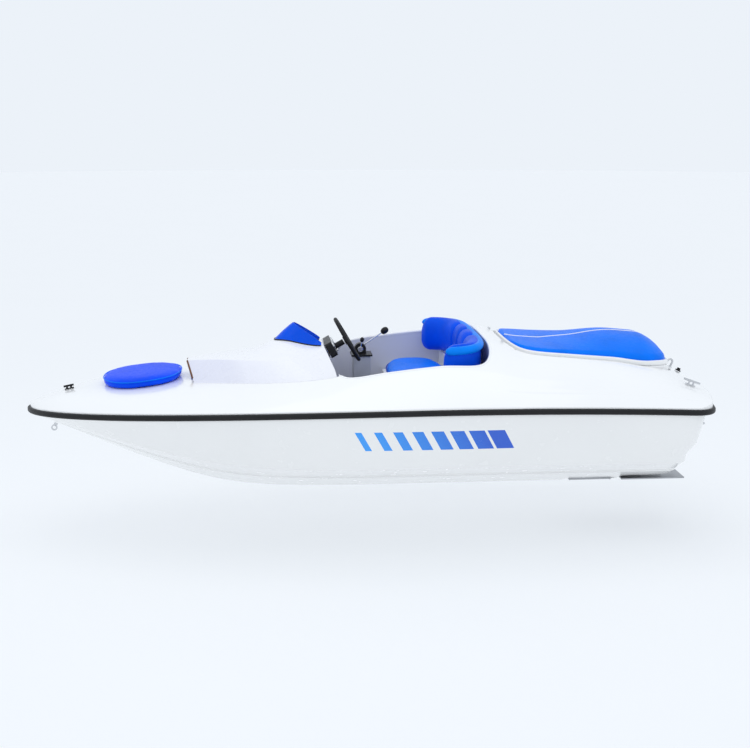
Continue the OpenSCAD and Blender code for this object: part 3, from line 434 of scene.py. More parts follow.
def add_stripes(nt, bsdf):
    xyz = add(nt, "ShaderNodeSeparateXYZ", {"Vector": coords(nt)}).outputs
    slanted = mathn(nt, "SUBTRACT", xyz["X"], mathn(nt, "MULTIPLY", xyz["Z"], STRIPE_SLANT))
    turn = mathn(nt, "DIVIDE", mathn(nt, "SUBTRACT", slanted, STRIPE_X[0]), STRIPE_PITCH)
    share = mathn(nt, "DIVIDE", mathn(nt, "SUBTRACT", slanted, STRIPE_X[0]), STRIPE_X[1] - STRIPE_X[0])
    width = mathn(nt, "SUBTRACT", STRIPE_FILL, mathn(nt, "MULTIPLY", share, STRIPE_FADE))
    on = mathn(nt, "LESS_THAN", mathn(nt, "FRACT", turn), width)
    mid, half = sum(STRIPE_Z) / 2, (STRIPE_Z[1] - STRIPE_Z[0]) / 2
    off_mid = mathn(nt, "ABSOLUTE", mathn(nt, "SUBTRACT", xyz["Z"], mid))
    in_z = mathn(nt, "LESS_THAN", off_mid, half)
    in_x = mathn(nt, "MULTIPLY", mathn(nt, "GREATER_THAN", share, 0.0), mathn(nt, "LESS_THAN", share, 1.0))
    on_side = mathn(nt, "GREATER_THAN", mathn(nt, "ABSOLUTE", xyz["Y"]), 0.5)
    mask = mathn(nt, "MULTIPLY", mathn(nt, "MULTIPLY", on, in_z), mathn(nt, "MULTIPLY", in_x, on_side))
    overpaint(nt, bsdf, mask, ramp(nt, share, (0.010, 0.10, 0.62), (0.03, 0.34, 0.95), 0.1, 0.9))


def vinyl(name, colour, spread=0.10):
    """Marine vinyl: fine leather grain, soft creases and a slight shine."""
    m, nt, bsdf = tree(name, Specular_IOR_Level=0.08)
    varied(nt, bsdf, colour, spread, 5.0, 0.40, 0.12)
    cells = add(nt, "ShaderNodeTexVoronoi", {"Vector": coords(nt)},
                {"feature": "DISTANCE_TO_EDGE"}, Scale=320.0)
    grain = mathn(nt, "MINIMUM", cells.outputs["Distance"], 0.12)
    first = bump(nt, bsdf, grain, 0.0012, 0.35)
    bump(nt, bsdf, noise_fac(nt, 22, 4, 0.6), 0.004, 0.30, first)
    return m


def plastic(name, colour, rough=0.45, grain=420.0, depth=0.0003):
    """Moulded plastic or rubber with a fine pebbled grain and worn-looking gloss."""
    m, nt, bsdf = tree(name, Specular_IOR_Level=0.25)
    varied(nt, bsdf, colour, 0.12, 6.0, rough, 0.14)
    bump(nt, bsdf, noise_fac(nt, grain, 2), depth, 0.5)
    return m


def metal(name, colour, rough, brushed=0.0, cast=0.0):
    m, nt, bsdf = tree(name, Metallic=1.0)
    varied(nt, bsdf, colour, 0.06, 12.0, rough, 0.12)
    if cast:
        bump(nt, bsdf, noise_fac(nt, 260, 4, 0.7), cast, 0.6)
    elif brushed:
        flat = add(nt, "ShaderNodeMapping", {"Vector": coords(nt)}, Scale=(18.0, 900.0, 900.0))
        bump(nt, bsdf, noise_fac(nt, 1.0, 2, 0.5, flat.outputs["Vector"]), brushed, 0.4)
    return m


def screen_plastic(name):
    """Tinted acrylic sheet that lets some light through."""
    m, nt, bsdf = tree(name, Transmission_Weight=0.12, Specular_IOR_Level=0.1, IOR=1.49)
    varied(nt, bsdf, (0.0, 0.095, 0.85), 0.10, 4.0, 0.14, 0.05)
    bump(nt, bsdf, noise_fac(nt, 9, 2), 0.0008, 0.3)
    return m


def non_skid(name, colour):
    """Moulded mat of small raised diamonds."""
    m, nt, bsdf = tree(name)
    varied(nt, bsdf, colour, 0.10, 5.0, 0.62, 0.12)
    turned = add(nt, "ShaderNodeMapping", {"Vector": coords(nt)},
                 Rotation=(0, 0, math.radians(45)), Scale=(55.0, 55.0, 1.0))
    xyz = add(nt, "ShaderNodeSeparateXYZ", {"Vector": turned.outputs["Vector"]}).outputs
    ridges = [mathn(nt, "ABSOLUTE", mathn(nt, "SUBTRACT", mathn(nt, "FRACT", xyz[k]), 0.5)) for k in "XY"]
    stud = mathn(nt, "LESS_THAN", mathn(nt, "MAXIMUM", *ridges), 0.36)
    bump(nt, bsdf, stud, 0.0015, 0.6)
    return m


def paint_front_shade(m, shade_colour, aft, fore):
    """Paints a shade colour onto a gelcoat's upright faces, more towards the front, between two distances:
    painted shade that darkens those faces.
    """
    nt = m.node_tree
    bsdf = nt.nodes["Principled BSDF"]
    along = add(nt, "ShaderNodeSeparateXYZ", {"Vector": coords(nt)}).outputs["X"]
    share = mathn(nt, "DIVIDE", mathn(nt, "SUBTRACT", along, aft), fore - aft)
    facing = add(nt, "ShaderNodeTexCoord").outputs["Normal"]
    up = add(nt, "ShaderNodeSeparateXYZ", {"Vector": facing}).outputs["Z"]
    upright = mathn(nt, "SUBTRACT", 1.75, mathn(nt, "MULTIPLY", up, 2.0))
    forward = ramp(nt, share, (0.25,) * 3, (1.0,) * 3)
    steep = ramp(nt, upright, (0.0,) * 3, (1.0,) * 3)
    overpaint(nt, bsdf, mathn(nt, "MULTIPLY", forward, steep), shade_colour, "MULTIPLY")


HULL_WHITE = gelcoat("hull_gelcoat", (0.88, 0.88, 0.87), 0.25, 4.0, stripes=True)
DECK_WHITE = gelcoat("deck_gelcoat", (0.93, 0.93, 0.93), 0.24, 8.0)
# Painted shade: the console's gelcoat has a faint lavender cast, and its upright faces are darkened to a
# lavender grey, more towards the front.
CONSOLE_WHITE_SHADED = gelcoat("console_gelcoat_painted_shade", (0.90, 0.90, 0.93), 0.28, 2.0)
paint_front_shade(CONSOLE_WHITE_SHADED, (0.60, 0.62, 0.84), 0.35, 1.1)
WHITE_VINYL = vinyl("vinyl_white", (0.86, 0.88, 0.92), 0.04)
# Painted shade: the cockpit lining is a darker lavender grey than the deck, the tone of its walls in shade.
SHADED_LINING = gelcoat("lining_gelcoat_painted_shade", (0.66, 0.67, 0.74), 0.38, 5.0)
MAT_GREY = non_skid("sole_mat", (0.32, 0.33, 0.36))
RAIL_BLACK = plastic("rail_rubber", (0.012, 0.012, 0.013), 0.42)
BLACK = plastic("black_plastic", (0.010, 0.010, 0.012), 0.36)
WHEEL_BLACK = plastic("wheel_rubber", (0.008, 0.008, 0.009), 0.5, 700.0, 0.0005)
GREY_BOX = plastic("pedestal_plastic", (0.47, 0.49, 0.55), 0.42)
# Painted shade: the dark brown of the strip on the console's front corners, where the console's front faces
# lie in shade.
CORNER_SHADE_STRIP = plastic("corner_shade_paint", (0.17, 0.075, 0.035), 0.55)
BLUE = vinyl("vinyl_blue", (0.0, 0.18, 0.93))
BLUE_DEEP = vinyl("vinyl_deep_blue", (0.0, 0.085, 0.80))
BLUE_LIGHT = vinyl("vinyl_light_blue", (0.0, 0.23, 0.95))
BLUE_BOW = vinyl("vinyl_bow_blue", (0.0, 0.075, 0.95))
PIPING = vinyl("vinyl_piping", (0.0, 0.035, 0.42))
SCREEN = screen_plastic("screen_acrylic")
STEEL = metal("stainless", (0.62, 0.63, 0.65), 0.18, brushed=0.0002)
CAST = metal("cast_aluminium", (0.42, 0.43, 0.45), 0.42, cast=0.0006)
ENGINE_PAINT = plastic("engine_paint", (0.035, 0.036, 0.04), 0.38, 300.0, 0.0008)
DIAL = plastic("dial_face", (0.75, 0.76, 0.78), 0.3)

# ---- hull
BOTTOM_LINE = [
    (0.004, 0), (0.04, 0.034), (0.13, 0.124), (0.25, 0.24), (0.36, 0.352), (0.462, 0.458), (0.47, 0.464),
    (0.505, 0.476), (0.51, 0.51), (0.63, 0.63), (0.75, 0.75), (0.86, 0.86), (0.945, 0.942), (0.955, 0.95),
    (0.99, 0.958), (1, 0.962)]
SIDE_LINE = [0.012, 0.05, 0.12, 0.2, 0.3, 0.4, 0.5, 0.6, 0.7, 0.8, 0.9, 0.97]
FLARE = 0.8
UNDER_RAIL = 24


def hull_half(x):
    k, s, b, c, z = keel_z(x), sheer_z(x), half_beam(x), chine_y(x), chine_z(x)
    foot = mix(k, z, BOTTOM_LINE[-1][1])
    lip = min(UNDER_RAIL, (s - foot) / 8)
    side = [(mix(c, b, t ** FLARE), mix(foot, s - lip, t)) for t in SIDE_LINE]
    return [(c * p, mix(k, z, q)) for p, q in BOTTOM_LINE] + side + [(b, s - lip), (b, s)]


def hull_ring(x, share):
    half = hull_half(x)
    t = smooth((TAIL_START_X - x) / (TAIL_START_X - STERN_X - STERN_CORNER_R))
    ring = []
    for i, (y, z) in enumerate(half):
        step = 0 if i == len(half) - 1 else lookup(z, TRANSOM_PROFILE)
        camber = STERN_CAMBER * (1 - min(1, abs(y * share) / (STERN_BEAM / 2)) ** 2)
        ring.append((x + t * (step - camber), y * share, z))
    return mirrored(ring)


CORNER_SHARES = [
    1 - STERN_CORNER_R * (1 - math.cos(math.radians(a))) / (STERN_BEAM / 2) for a in range(8, 90, 8)]
STERN_SHARES = [0.85, 0.8, 0.7, 0.6, 0.5, 0.4, 0.3, 0.2, 0.1, 0.03]
BOW_ANGLES = [89.3, 88.6, 87.6, 86, 84] + list(np.linspace(82, 1.2, 56))


def hull_places():
    places = [(WIDEST_X + (BOW_X - WIDEST_X) * math.sin(math.radians(a)), 1) for a in BOW_ANGLES]
    places += [(x, 1) for x in np.linspace(WIDEST_X, STERN_X + STERN_CORNER_R, 46)]
    places += [(corner_x(s), s) for s in CORNER_SHARES]
    places += [(STERN_X, s) for s in STERN_SHARES]
    return places


# Cockpit well, engine bay and jet passage, as in the CAD model
SOLE_H = 340
COCKPIT_FRONT_X, COCKPIT_AFT_X = 300, -740
COCKPIT_TOP = 1740
WELL_WALL = 100
LEG_FRONT_X, LEG_HALF_W = 990, 400
PUMP_H = 170
TUNNEL_FRONT_X, TUNNEL_HALF_W, TUNNEL_H = -1745, 172, 462
INTAKE_HALF_W = 75
BAY_AFT_X, BAY_FRONT_X, BAY_HALF_W, BAY_FLOOR_H = -1620, -914, 400, 235
BILGE_AFT_X, BILGE_FRONT_X, BILGE_HALF_W, BILGE_H = -1420, -948, 175, 115
SHAFT_BORE_R = 20
UNDER_KEEL = -30


def well_outline(off=0.0, step=2):
    mid = (COCKPIT_FRONT_X + COCKPIT_AFT_X) / 2
    half = (COCKPIT_FRONT_X - COCKPIT_AFT_X) / 2 + off
    port = []
    for a in range(-90, 91, step):
        x = mid + half * math.sin(math.radians(a))
        u = min(1, abs(x - mid) / half)
        port.append((x, max(1, (chine_y(x) - WELL_WALL + off) * max(0, 1 - u ** 10) ** 0.2)))
    return mirrored(port)


def cockpit_cutters():
    leg = block("leg", (COCKPIT_FRONT_X - 60, -LEG_HALF_W, SOLE_H), (LEG_FRONT_X, LEG_HALF_W, COCKPIT_TOP))
    return [prism("well", well_outline(), SOLE_H, COCKPIT_TOP), leg]


def bay_cutters():
    bay = block("bay", (BAY_AFT_X, -BAY_HALF_W, BAY_FLOOR_H), (BAY_FRONT_X, BAY_HALF_W, BAY_FLOOR_H + 1400))
    return [bay, block("bilge", (BILGE_AFT_X, -BILGE_HALF_W, BILGE_H),
                       (BILGE_FRONT_X, BILGE_HALF_W, BAY_FLOOR_H + 5))]


def jet_cutters():
    side = [(-1300, UNDER_KEEL), (BAY_AFT_X, PUMP_H + 20), (TUNNEL_FRONT_X - 5, PUMP_H + 90),
            (TUNNEL_FRONT_X - 5, PUMP_H - 95), (TUNNEL_FRONT_X + 55, UNDER_KEEL)]
    duct = loft("duct", [[(x, y, z) for x, z in side] for y in (-INTAKE_HALF_W, INTAKE_HALF_W)])
    tunnel = block("tunnel", (STERN_X - 300, -TUNNEL_HALF_W, UNDER_KEEL),
                   (TUNNEL_FRONT_X, TUNNEL_HALF_W, TUNNEL_H))
    shaft = tube("shaft_bore", [(BILGE_AFT_X + 10, 0, PUMP_H), (BAY_AFT_X - 20, 0, PUMP_H)],
                 SHAFT_BORE_R, sides=24)
    return [duct, tunnel, shaft]


hull = loft("hull_shell_moulding", [hull_ring(*p) for p in hull_places()])
cut(hull, *cockpit_cutters(), *bay_cutters(), *jet_cutters())
place(hull, "boat", HULL_WHITE, "hull_gelcoat", "hull_shell", angle=24)

# ---- deck
HATCH_FRONT_X, HATCH_LEN, HATCH_HALF_W = -880, 1150, 455
HATCH_MID = HATCH_FRONT_X - HATCH_LEN / 2
HATCH_AFT_X = HATCH_FRONT_X - HATCH_LEN
HATCH_T, HATCH_GAP, HATCH_SINK = 34, 12, 18
HUMP = [(-2100, 0), (-2010, 52), (-1955, 108), (-1850, 128), (-1670, 106), (-1520, 76), (-1380, 40),
        (-1150, 0), (-900, 0)]
HUMP_BLEND = 25


def hatch_half(x, off=0.0):
    u = min(1, abs(x - HATCH_MID) / (HATCH_LEN / 2 + off))
    return (HATCH_HALF_W + off) * max(0, 1 - u ** (7 if x > HATCH_MID else 4.6)) ** 0.3


def hatch_z(x, y):
    hump = blended(x, HUMP, HUMP_BLEND)
    return deck_z(x, y) - HATCH_SINK + hump * (1 - min(1, abs(y) / HATCH_HALF_W) ** 2)


def hatch_grid(off, rows=56, cols=41):
    """Rows of points over the hatch's plan, closer together near its edge."""
    grid = []
    for a in np.linspace(87, -88.5, rows):
        x = HATCH_MID + (HATCH_LEN / 2 + off) * math.sin(math.radians(a))
        w = hatch_half(x, off)
        grid.append([(x, w * math.cos(math.pi * (0.5 + (v - 0.5) * 0.96)) * -1 / math.cos(math.pi * 0.02), 0)
                     for v in np.linspace(1, 0, cols)])
    return grid


def raised(grid, height):
    return [[(p[0], p[1], height(p[0], p[1])) for p in row] for row in grid]


CREASE_IN, CREASE_OUT, CREASE_BLEND, CREASE_DEPTH = 0.815, 0.905, 0.012, 5.0


def side_creases(x, y):
    """Two long moulding lines in the deck's side, abreast of the hatch."""
    share = abs(y) / max(1, half_beam(x))
    along = smooth((-560 - x) / 260) * smooth((x + 2085) / 120)
    steps = smooth((share - CREASE_IN) / CREASE_BLEND) - smooth((share - CREASE_OUT) / CREASE_BLEND)
    return CREASE_DEPTH * along * steps


DECK_SHARES = sorted({
    1, 0.996, 0.97, 0.955, 0.92, 0.908, 0.9, 0.84, 0.82, 0.80, 0.77, 0.73, 0.68, 0.62, 0.55, 0.47, 0.39, 0.31,
    0.23, 0.15, 0.07, *CORNER_SHARES[1:]}, reverse=True)
DECK_COLUMNS = DECK_SHARES + [0] + [-s for s in reversed(DECK_SHARES)]


def deck_row(x, t):
    row = []
    for e in DECK_COLUMNS:
        px = mix(x, stern_edge(e), t)
        row.append((px, half_beam(max(px, corner_x(e))) * e))
    return row


deck_rows = [deck_row(x, 0) for x, s in hull_places() if x > TAIL_START_X and s == 1]
deck_rows += [deck_row(TAIL_START_X, t / 22) for t in range(23)]
deck = slab(
    "deck_moulding",
    raised(deck_rows, lambda x, y: max(sheer_z(x) + DECK_LIP, deck_z(x, y) - side_creases(x, y))),
    raised(deck_rows, lambda x, y: sheer_z(x) + 1))

# Console outline at its foot
CONSOLE_FRONT_X, CONSOLE_LEN = 1220, 950
CONSOLE_REAR_X = CONSOLE_FRONT_X - CONSOLE_LEN
CONSOLE_FRONT_HALF_W, CONSOLE_REAR_HALF_W = 270, 625
CONSOLE_SEAT_H, CONSOLE_LEAN_H = 742, 805
CONSOLE_FIT = 2.5


def console_foot_y(t):
    return mix(CONSOLE_FRONT_HALF_W, CONSOLE_REAR_HALF_W, math.sin(math.pi / 2 * t))


def console_foot(off):
    places = np.linspace(CONSOLE_REAR_X, CONSOLE_FRONT_X, 40)
    port = [(x + (off if i == 39 else -off if i == 0 else 0),
             console_foot_y((CONSOLE_FRONT_X - x) / CONSOLE_LEN) + off) for i, x in enumerate(places)]
    return mirrored(port)


recess = hatch_grid(HATCH_GAP)
hatch_cutter = slab("hatch_recess", raised(recess, lambda x, y: hatch_z(x, y) + 300),
                    raised(recess, lambda x, y: hatch_z(x, y) - HATCH_T - HATCH_GAP))
console_cutter = prism("console_recess", console_foot(CONSOLE_FIT), CONSOLE_SEAT_H, COCKPIT_TOP)
cut(deck, *cockpit_cutters(), *bay_cutters(), hatch_cutter, console_cutter)
place(deck, "boat", DECK_WHITE, "deck_gelcoat", "deck", angle=40)

# Rolled lip round the cockpit opening
well_edge = well_outline(0, 3)
coaming_path = [
    (x, y, deck_z(x, y) - 8) for x, y in well_edge if x < CONSOLE_REAR_X - 6 and deck_z(x, y) > 700]
split = next(i for i, (p, q) in enumerate(zip(coaming_path, coaming_path[1:])) if p[1] > 0 > q[1])
coaming_path = coaming_path[split + 1:] + coaming_path[:split + 1]
coaming = tube("coaming_lip", coaming_path, 11, sides=14)
place(coaming, "boat", DECK_WHITE, "deck_gelcoat")

# ---- rub rail
RAIL_SECTION = [
    (0, -0.5), (0.3, -0.5), (0.6, -0.46), (0.82, -0.36), (0.95, -0.2), (0.97, -0.12), (0.88, -0.08),
    (0.88, 0.08), (0.97, 0.12), (0.95, 0.2), (0.82, 0.36), (0.6, 0.46), (0.3, 0.5), (0, 0.5)]


def rail_rings():
    port = [(x, half_beam(x), sheer_z(x)) for x, s in hull_places() if s == 1]
    port += [(stern_edge(s), s * half_beam(corner_x(s)), sheer_z(stern_edge(s)))
             for s in CORNER_SHARES + STERN_SHARES]
    line = mirrored(port)
    n, rings = len(line), []
    for i, p in enumerate(line):
        a, b = line[(i - 1) % n], line[(i + 1) % n]
        d = Vector((a[1] - b[1], b[0] - a[0])).normalized()
        out = [(RAIL_GAP + RAIL_W * s, RAIL_H * h) for s, h in RAIL_SECTION]
        rings.append([(p[0] - d.x * o, p[1] - d.y * o, p[2] + h) for o, h in out])
    return rings


rail = loft("rub_rail_extrusion", rail_rings(), closed_path=True)
place(rail, "boat", RAIL_BLACK, "rail_rubber", "rub_rail", angle=50)

# ---- cockpit
LINING_T = 8


def lining():
    outer, inner = well_outline(-1, 2), well_outline(-1 - LINING_T, 2)
    body = prism("cockpit_side_lining", outer, SOLE_H + LINING_T + 2, COCKPIT_TOP)
    cut(body, prism("inside", inner, SOLE_H - 10, COCKPIT_TOP + 20),
        block("console_side", (COCKPIT_FRONT_X - 32, -CONSOLE_REAR_HALF_W - 4, SOLE_H - 20),
              (COCKPIT_FRONT_X + 168, CONSOLE_REAR_HALF_W + 4, COCKPIT_TOP + 20)))
    top = slab("under_deck", raised(deck_rows, lambda x, y: max(SOLE_H + 1, deck_z(x, y) - 14)),
               raised(deck_rows, lambda x, y: SOLE_H - 20))
    return cut(body, top, operation="INTERSECT")


place(lining(), "boat", SHADED_LINING, "lining", "cockpit_lining", angle=45)

# ---- console
FRONT_LEAN, REAR_LEAN = 0.4, 0.5
SHOULDER_HALF_W = [(0, 40), (0.17, 108), (0.33, 185), (0.5, 252), (0.6, 284), (0.72, 298),
                   (0.85, 262), (0.93, 212), (1, 158)]
SHOULDER_TOP = [(0, 915), (0.17, 932), (0.33, 942), (0.5, 946), (0.72, 956), (0.85, 972),
                (0.93, 990), (1, 1013)]
HOOD_CROWN = [(0, 0), (0.2, 3), (0.36, 8), (0.52, 37), (0.6, 66), (0.68, 95), (0.78, 92),
              (0.9, 50), (1, 8)]
CONSOLE_WALL = 25


def console_x(t, z, off=0.0):
    return mix(CONSOLE_FRONT_X - off + FRONT_LEAN * max(0, z - CONSOLE_LEAN_H),
               CONSOLE_REAR_X + REAR_LEAN * max(0, z - CONSOLE_SEAT_H - 130), t)


def faired(t, table, reach=0.04):
    """The table's value at t, rounded off less and less towards both ends."""
    reach = min(reach, max(0.0, t), max(0.0, 1 - t))
    return blended(t, table, reach)


def shoulder_y(t):
    return faired(t, SHOULDER_HALF_W)


def shoulder_h(t):
    return faired(t, SHOULDER_TOP)


def hood_z(t, y):
    return shoulder_h(t) + faired(t, HOOD_CROWN) * (1 - min(1, abs(y) / shoulder_y(t)) ** 2.2)


def hood_top(x, y):
    share = clamp((CONSOLE_FRONT_X - x) / CONSOLE_LEN)
    for _ in range(3):
        z = hood_z(share, y)
        share = clamp((console_x(0, z) - x) / (console_x(0, z) - console_x(1, z)))
    return hood_z(share, y)


def eased(line, times=2):
    """Cuts the corners of an open line, keeping its ends."""
    for _ in range(times):
        out = [line[0]]
        for a, b in zip(line, line[1:]):
            out += [tuple(mix(p, q, k) for p, q in zip(a, b)) for k in (0.22, 0.78)]
        line = out + [line[-1]]
    return line


def console_ring(t, off, foot):
    y0, y1, z1 = console_foot_y(t) - off, shoulder_y(t) - off, shoulder_h(t) - off
    half = [(console_x(t, foot, off), y0, foot)]
    for k in (0.18, 0.35, 0.52, 0.7, 0.85, 0.95):
        z = mix(CONSOLE_SEAT_H, z1, k)
        half.append((console_x(t, z, off), mix(y0, y1, k) + 14 * math.sin(math.pi * k) * t * k, z))
    for e in (1, 0.94, 0.85, 0.74, 0.6, 0.45, 0.3, 0.15, 0.02):
        z = hood_z(t, e * shoulder_y(t)) - off
        half.append((console_x(t, z, off), y1 * e, z))
    return mirrored(eased(half))


hood_steps = [0, 0.006, 0.015, 0.03] + list(np.linspace(0.05, 0.99, 46)) + [1]
hood = loft("console_moulding", [console_ring(t, 0, CONSOLE_SEAT_H) for t in hood_steps])
cut(hood, loft("console_inside", [
    console_ring(t, CONSOLE_WALL, CONSOLE_SEAT_H - 30) for t in hood_steps + [1.1]]))
place(hood, "boat", CONSOLE_WHITE_SHADED, "deck_gelcoat", "console_hood", angle=65)


# A dark brown strip along each of the console's front corners: painted shade, standing where the console's
# front faces lie in shade.
def shade_strip_line(side):
    line = []
    for k in np.linspace(0, 1, 18):
        z = mix(CONSOLE_LEAN_H + 8, shoulder_h(0) - 4, k)
        y = mix(CONSOLE_FRONT_HALF_W, shoulder_y(0), (z - CONSOLE_SEAT_H) / (shoulder_h(0) - CONSOLE_SEAT_H))
        line.append((console_x(0, z) + 1.5, side * (y - 5), z))
    return line


def joined(name, *objs):
    bpy.ops.object.select_all(action="DESELECT")
    for o in objs:
        o.select_set(True)
    bpy.context.view_layer.objects.active = objs[0]
    bpy.ops.object.join()
    objs[0].name = name
    return objs[0]


SHADE_STRIP_R = 7
shade_strip = joined("console_corner_shade_strip", tube("shade_strip_port", shade_strip_line(1), SHADE_STRIP_R),
              tube("shade_strip_starboard", shade_strip_line(-1), SHADE_STRIP_R))
place(shade_strip, "boat", CORNER_SHADE_STRIP, "trim_brown", "console_trim")

# ---- windscreen
SCREEN_TIP_X, SCREEN_REAR_X, SCREEN_HALF_W = 672, 352, 132
SCREEN_H, SCREEN_REAR_H, SCREEN_LEAN, SCREEN_T, SCREEN_LIFT = 108, 6, 128, 5, 3


def screen_point(a, k, off):
    s, c = math.sin(math.radians(a)), math.cos(math.radians(a))
    side, front = rounded(s, 0.9), c ** 1.1
    h = mix(SCREEN_REAR_H, SCREEN_H, c ** 0.8)
    x = mix(SCREEN_REAR_X, SCREEN_TIP_X, front) - off * front - k * SCREEN_LEAN * front
    y = (SCREEN_HALF_W - off - k * 22) * side
    return (x, y, hood_top(x, y) + SCREEN_LIFT + k * h)


screen_angles = np.linspace(-88, 88, 89)
screen_rises = np.linspace(0, 1, 14)
screen = slab("wrap_screen", *(
    [[screen_point(a, k, off) for a in screen_angles] for k in screen_rises] for off in (SCREEN_T, 0)))
place(screen, "boat", SCREEN, "screen_acrylic", "windscreen", angle=50)
foot_seal = tube("screen_seal", [
    (p[0] + 2, p[1], p[2] - 1) for p in (screen_point(a, 0, SCREEN_T / 2) for a in screen_angles)], 5)
place(foot_seal, "boat", BLACK, "dash_plastic")

# ---- padded pieces
PILLOW = [(0, 1), (0.12, 1), (0.25, 1), (0.38, 1), (0.5, 0.998), (0.62, 0.99), (0.73, 0.975), (0.82, 0.95),
          (0.89, 0.905), (0.94, 0.85), (0.975, 0.76), (0.993, 0.64), (1, 0.5), (0.993, 0.33), (0.975, 0.18),
          (0.945, 0.07), (0.91, 0.015), (0.87, 0), (0.5, 0), (0, 0)]


def oval(x0, length, width, square, count=128):
    """Plan of a rounded cushion, from its half-length, half-width and squareness."""
    power = 2 / square
    return [(x0 + length * rounded(math.cos(a), power), width * rounded(math.sin(a), power))
            for a in around(count)]


def pillow(name, outline, core, top, foot):
    """A crowned pad whose surface runs in from its outline to a core line."""
    rings = []
    for x, y in outline:
        cx, cy = core(x, y)
        ring = []
        for share, level in PILLOW:
            px, py = mix(cx, x, share), mix(cy, y, share)
            ring.append((px, py, mix(foot(px, py), top(px, py), level)))
        rings.append(ring)
    return loft(name, rings, closed_path=True, closed_ring=False, caps=False)


def vertices(obj):
    flat = np.empty(len(obj.data.vertices) * 3, dtype=np.float32)
    obj.data.vertices.foreach_get("co", flat)
    return flat.reshape(-1, 3)


# Cloth simulation: voxel size and the height over which the foot stays put, in metres
VOXEL, FOOT_FADE = 0.009, 0.02
CLOTH_PRESSURE, CLOTH_FRAMES = 4.0, 20


def puff(obj, limit):
    """Evens the mesh, then fills it by a short cloth simulation, held near its own shape."""
    even = obj.modifiers.new("even", "REMESH")
    even.mode = "VOXEL"
    even.voxel_size = VOXEL
    level = obj.modifiers.new("level", "SMOOTH")
    level.factor = 0.5
    level.iterations = 5
    applied(obj)
    start = vertices(obj)
    cloth = obj.modifiers.new("cloth", "CLOTH")
    cloth.settings.use_pressure = True
    cloth.settings.uniform_pressure_force = CLOTH_PRESSURE
    cloth.settings.effector_weights.gravity = 0
    cloth.collision_settings.use_collision = False
    cloth.point_cache.frame_start = 1
    cloth.point_cache.frame_end = CLOTH_FRAMES
    for frame_number in range(1, CLOTH_FRAMES + 1):
        bpy.context.scene.frame_set(frame_number)
    applied(obj)
    bpy.context.scene.frame_set(1)
    move = vertices(obj) - start
    size = np.linalg.norm(move, axis=1, keepdims=True)
    move *= np.minimum(1, limit / np.maximum(size, 1e-9))
    seat = np.clip((start[:, 2:] - start[:, 2].min()) / FOOT_FADE, 0, 1)
    obj.data.vertices.foreach_set("co", (start + move * seat).ravel())
    obj.data.update()
    return obj


def pad(obj, body, material, *nodes, fill=0.8):
    place(obj, body, material, "vinyl_blue", *nodes, angle=60)
    return obj


# Bow cushion
BOW_X0, BOW_HALF_L, BOW_HALF_W, BOW_T = 1568, 268, 315, 62
bow_outline = oval(BOW_X0, BOW_HALF_L - 3, BOW_HALF_W - 3, 2.25)
bow_pad = pillow("bow_cushion_pad", bow_outline, lambda x, y: (BOW_X0, clamp(y, -47, 47)),
                 lambda x, y: deck_z(x, y) + BOW_T, lambda x, y: deck_z(x, y) + 3)
pad(puff(bow_pad, 0.004), "boat", BLUE_BOW, "bow_cushion")
bow_line = [(mix(BOW_X0, x, 0.985), y * 0.985, deck_z(x, y) + BOW_T * 0.73 + 2) for x, y in bow_outline]
bow_welt = tube("bow_cushion_welt", bow_line, 4, closed=True)
place(bow_welt, "boat", BLUE, "vinyl_blue")

# Bench cushion
SEAT_FRONT_X, SEAT_DEPTH, SEAT_HALF_W, SEAT_TOP_H, SEAT_T = -110, 430, 560, 802, 110
seat_x0 = SEAT_FRONT_X - SEAT_DEPTH / 2
seat_outline = oval(seat_x0, SEAT_DEPTH / 2 - 3, SEAT_HALF_W - 3, 3.2, 160)


def seat_top(x, y):
    """The bench's top, with a shallow dip where each person sits."""
    dip = math.exp(-(((abs(y) - 265) / 150) ** 2) - ((x - seat_x0) / 120) ** 2)
    return SEAT_TOP_H + 6 - 7 * dip


bench_pad = pillow("bench_cushion_pad", seat_outline,
                   lambda x, y: (seat_x0, clamp(y, -SEAT_HALF_W + 200, SEAT_HALF_W - 200)),
                   seat_top, lambda x, y: SEAT_TOP_H - SEAT_T + 1)
pad(puff(bench_pad, 0.005), "boat", BLUE, "bench_cushion")
seat_line = [(mix(seat_x0, x, 0.99), y * 0.992, SEAT_TOP_H - 28) for x, y in seat_outline]
seat_welt = tube("bench_cushion_welt", seat_line, 4, closed=True)
place(seat_welt, "boat", PIPING, "vinyl_blue")

# Backrest: a padded band of lobes round a U, with a roll along its top
BACK_OPEN_X, BACK_DEPTH, BACK_HALF_W, BACK_SQUARE = -355, 307, 585, 0.5
BACK_T, BACK_FOOT_H, BACK_TOP_H = 110, 850, 1092
ROLL_H, ROLL_R, ROLL_HALF_W, ROLL_OFF = 1062, 28, 26, 30
LOBES = [0, 0.28, 0.44, 0.60, 1]


def back_point(a, off):
    c, s = math.cos(a), math.sin(a)
    return (BACK_OPEN_X - (BACK_DEPTH + off) * abs(c) ** BACK_SQUARE,
            (BACK_HALF_W + off) * rounded(s, BACK_SQUARE))


def even_angles(count, limit=88):
    fine = np.radians(np.linspace(-limit, limit, 3001))
    line = np.array([back_point(a, 0) for a in fine])
    run = np.concatenate([[0], np.cumsum(np.linalg.norm(np.diff(line, axis=0), axis=1))])
    return np.interp(np.linspace(0, run[-1], count), run, fine), run[-1]


def end_round(s, length, radius):
    """How full the section is at share s of the length, rounding off towards both ends."""
    d = min(s, 1 - s) * length / radius
    return max(0.06, math.sqrt(max(0, 1 - max(0, 1 - d) ** 2)))


def lobe_bulge(s):
    """0 at the seams between the backrest's lobes, 1 in the middle of each."""
    i = next(k for k in range(len(LOBES) - 1) if s <= LOBES[k + 1])
    u = 2 * (s - LOBES[i]) / (LOBES[i + 1] - LOBES[i]) - 1
    return 1 - abs(u) ** (8 if i in (0, 3) else 4)


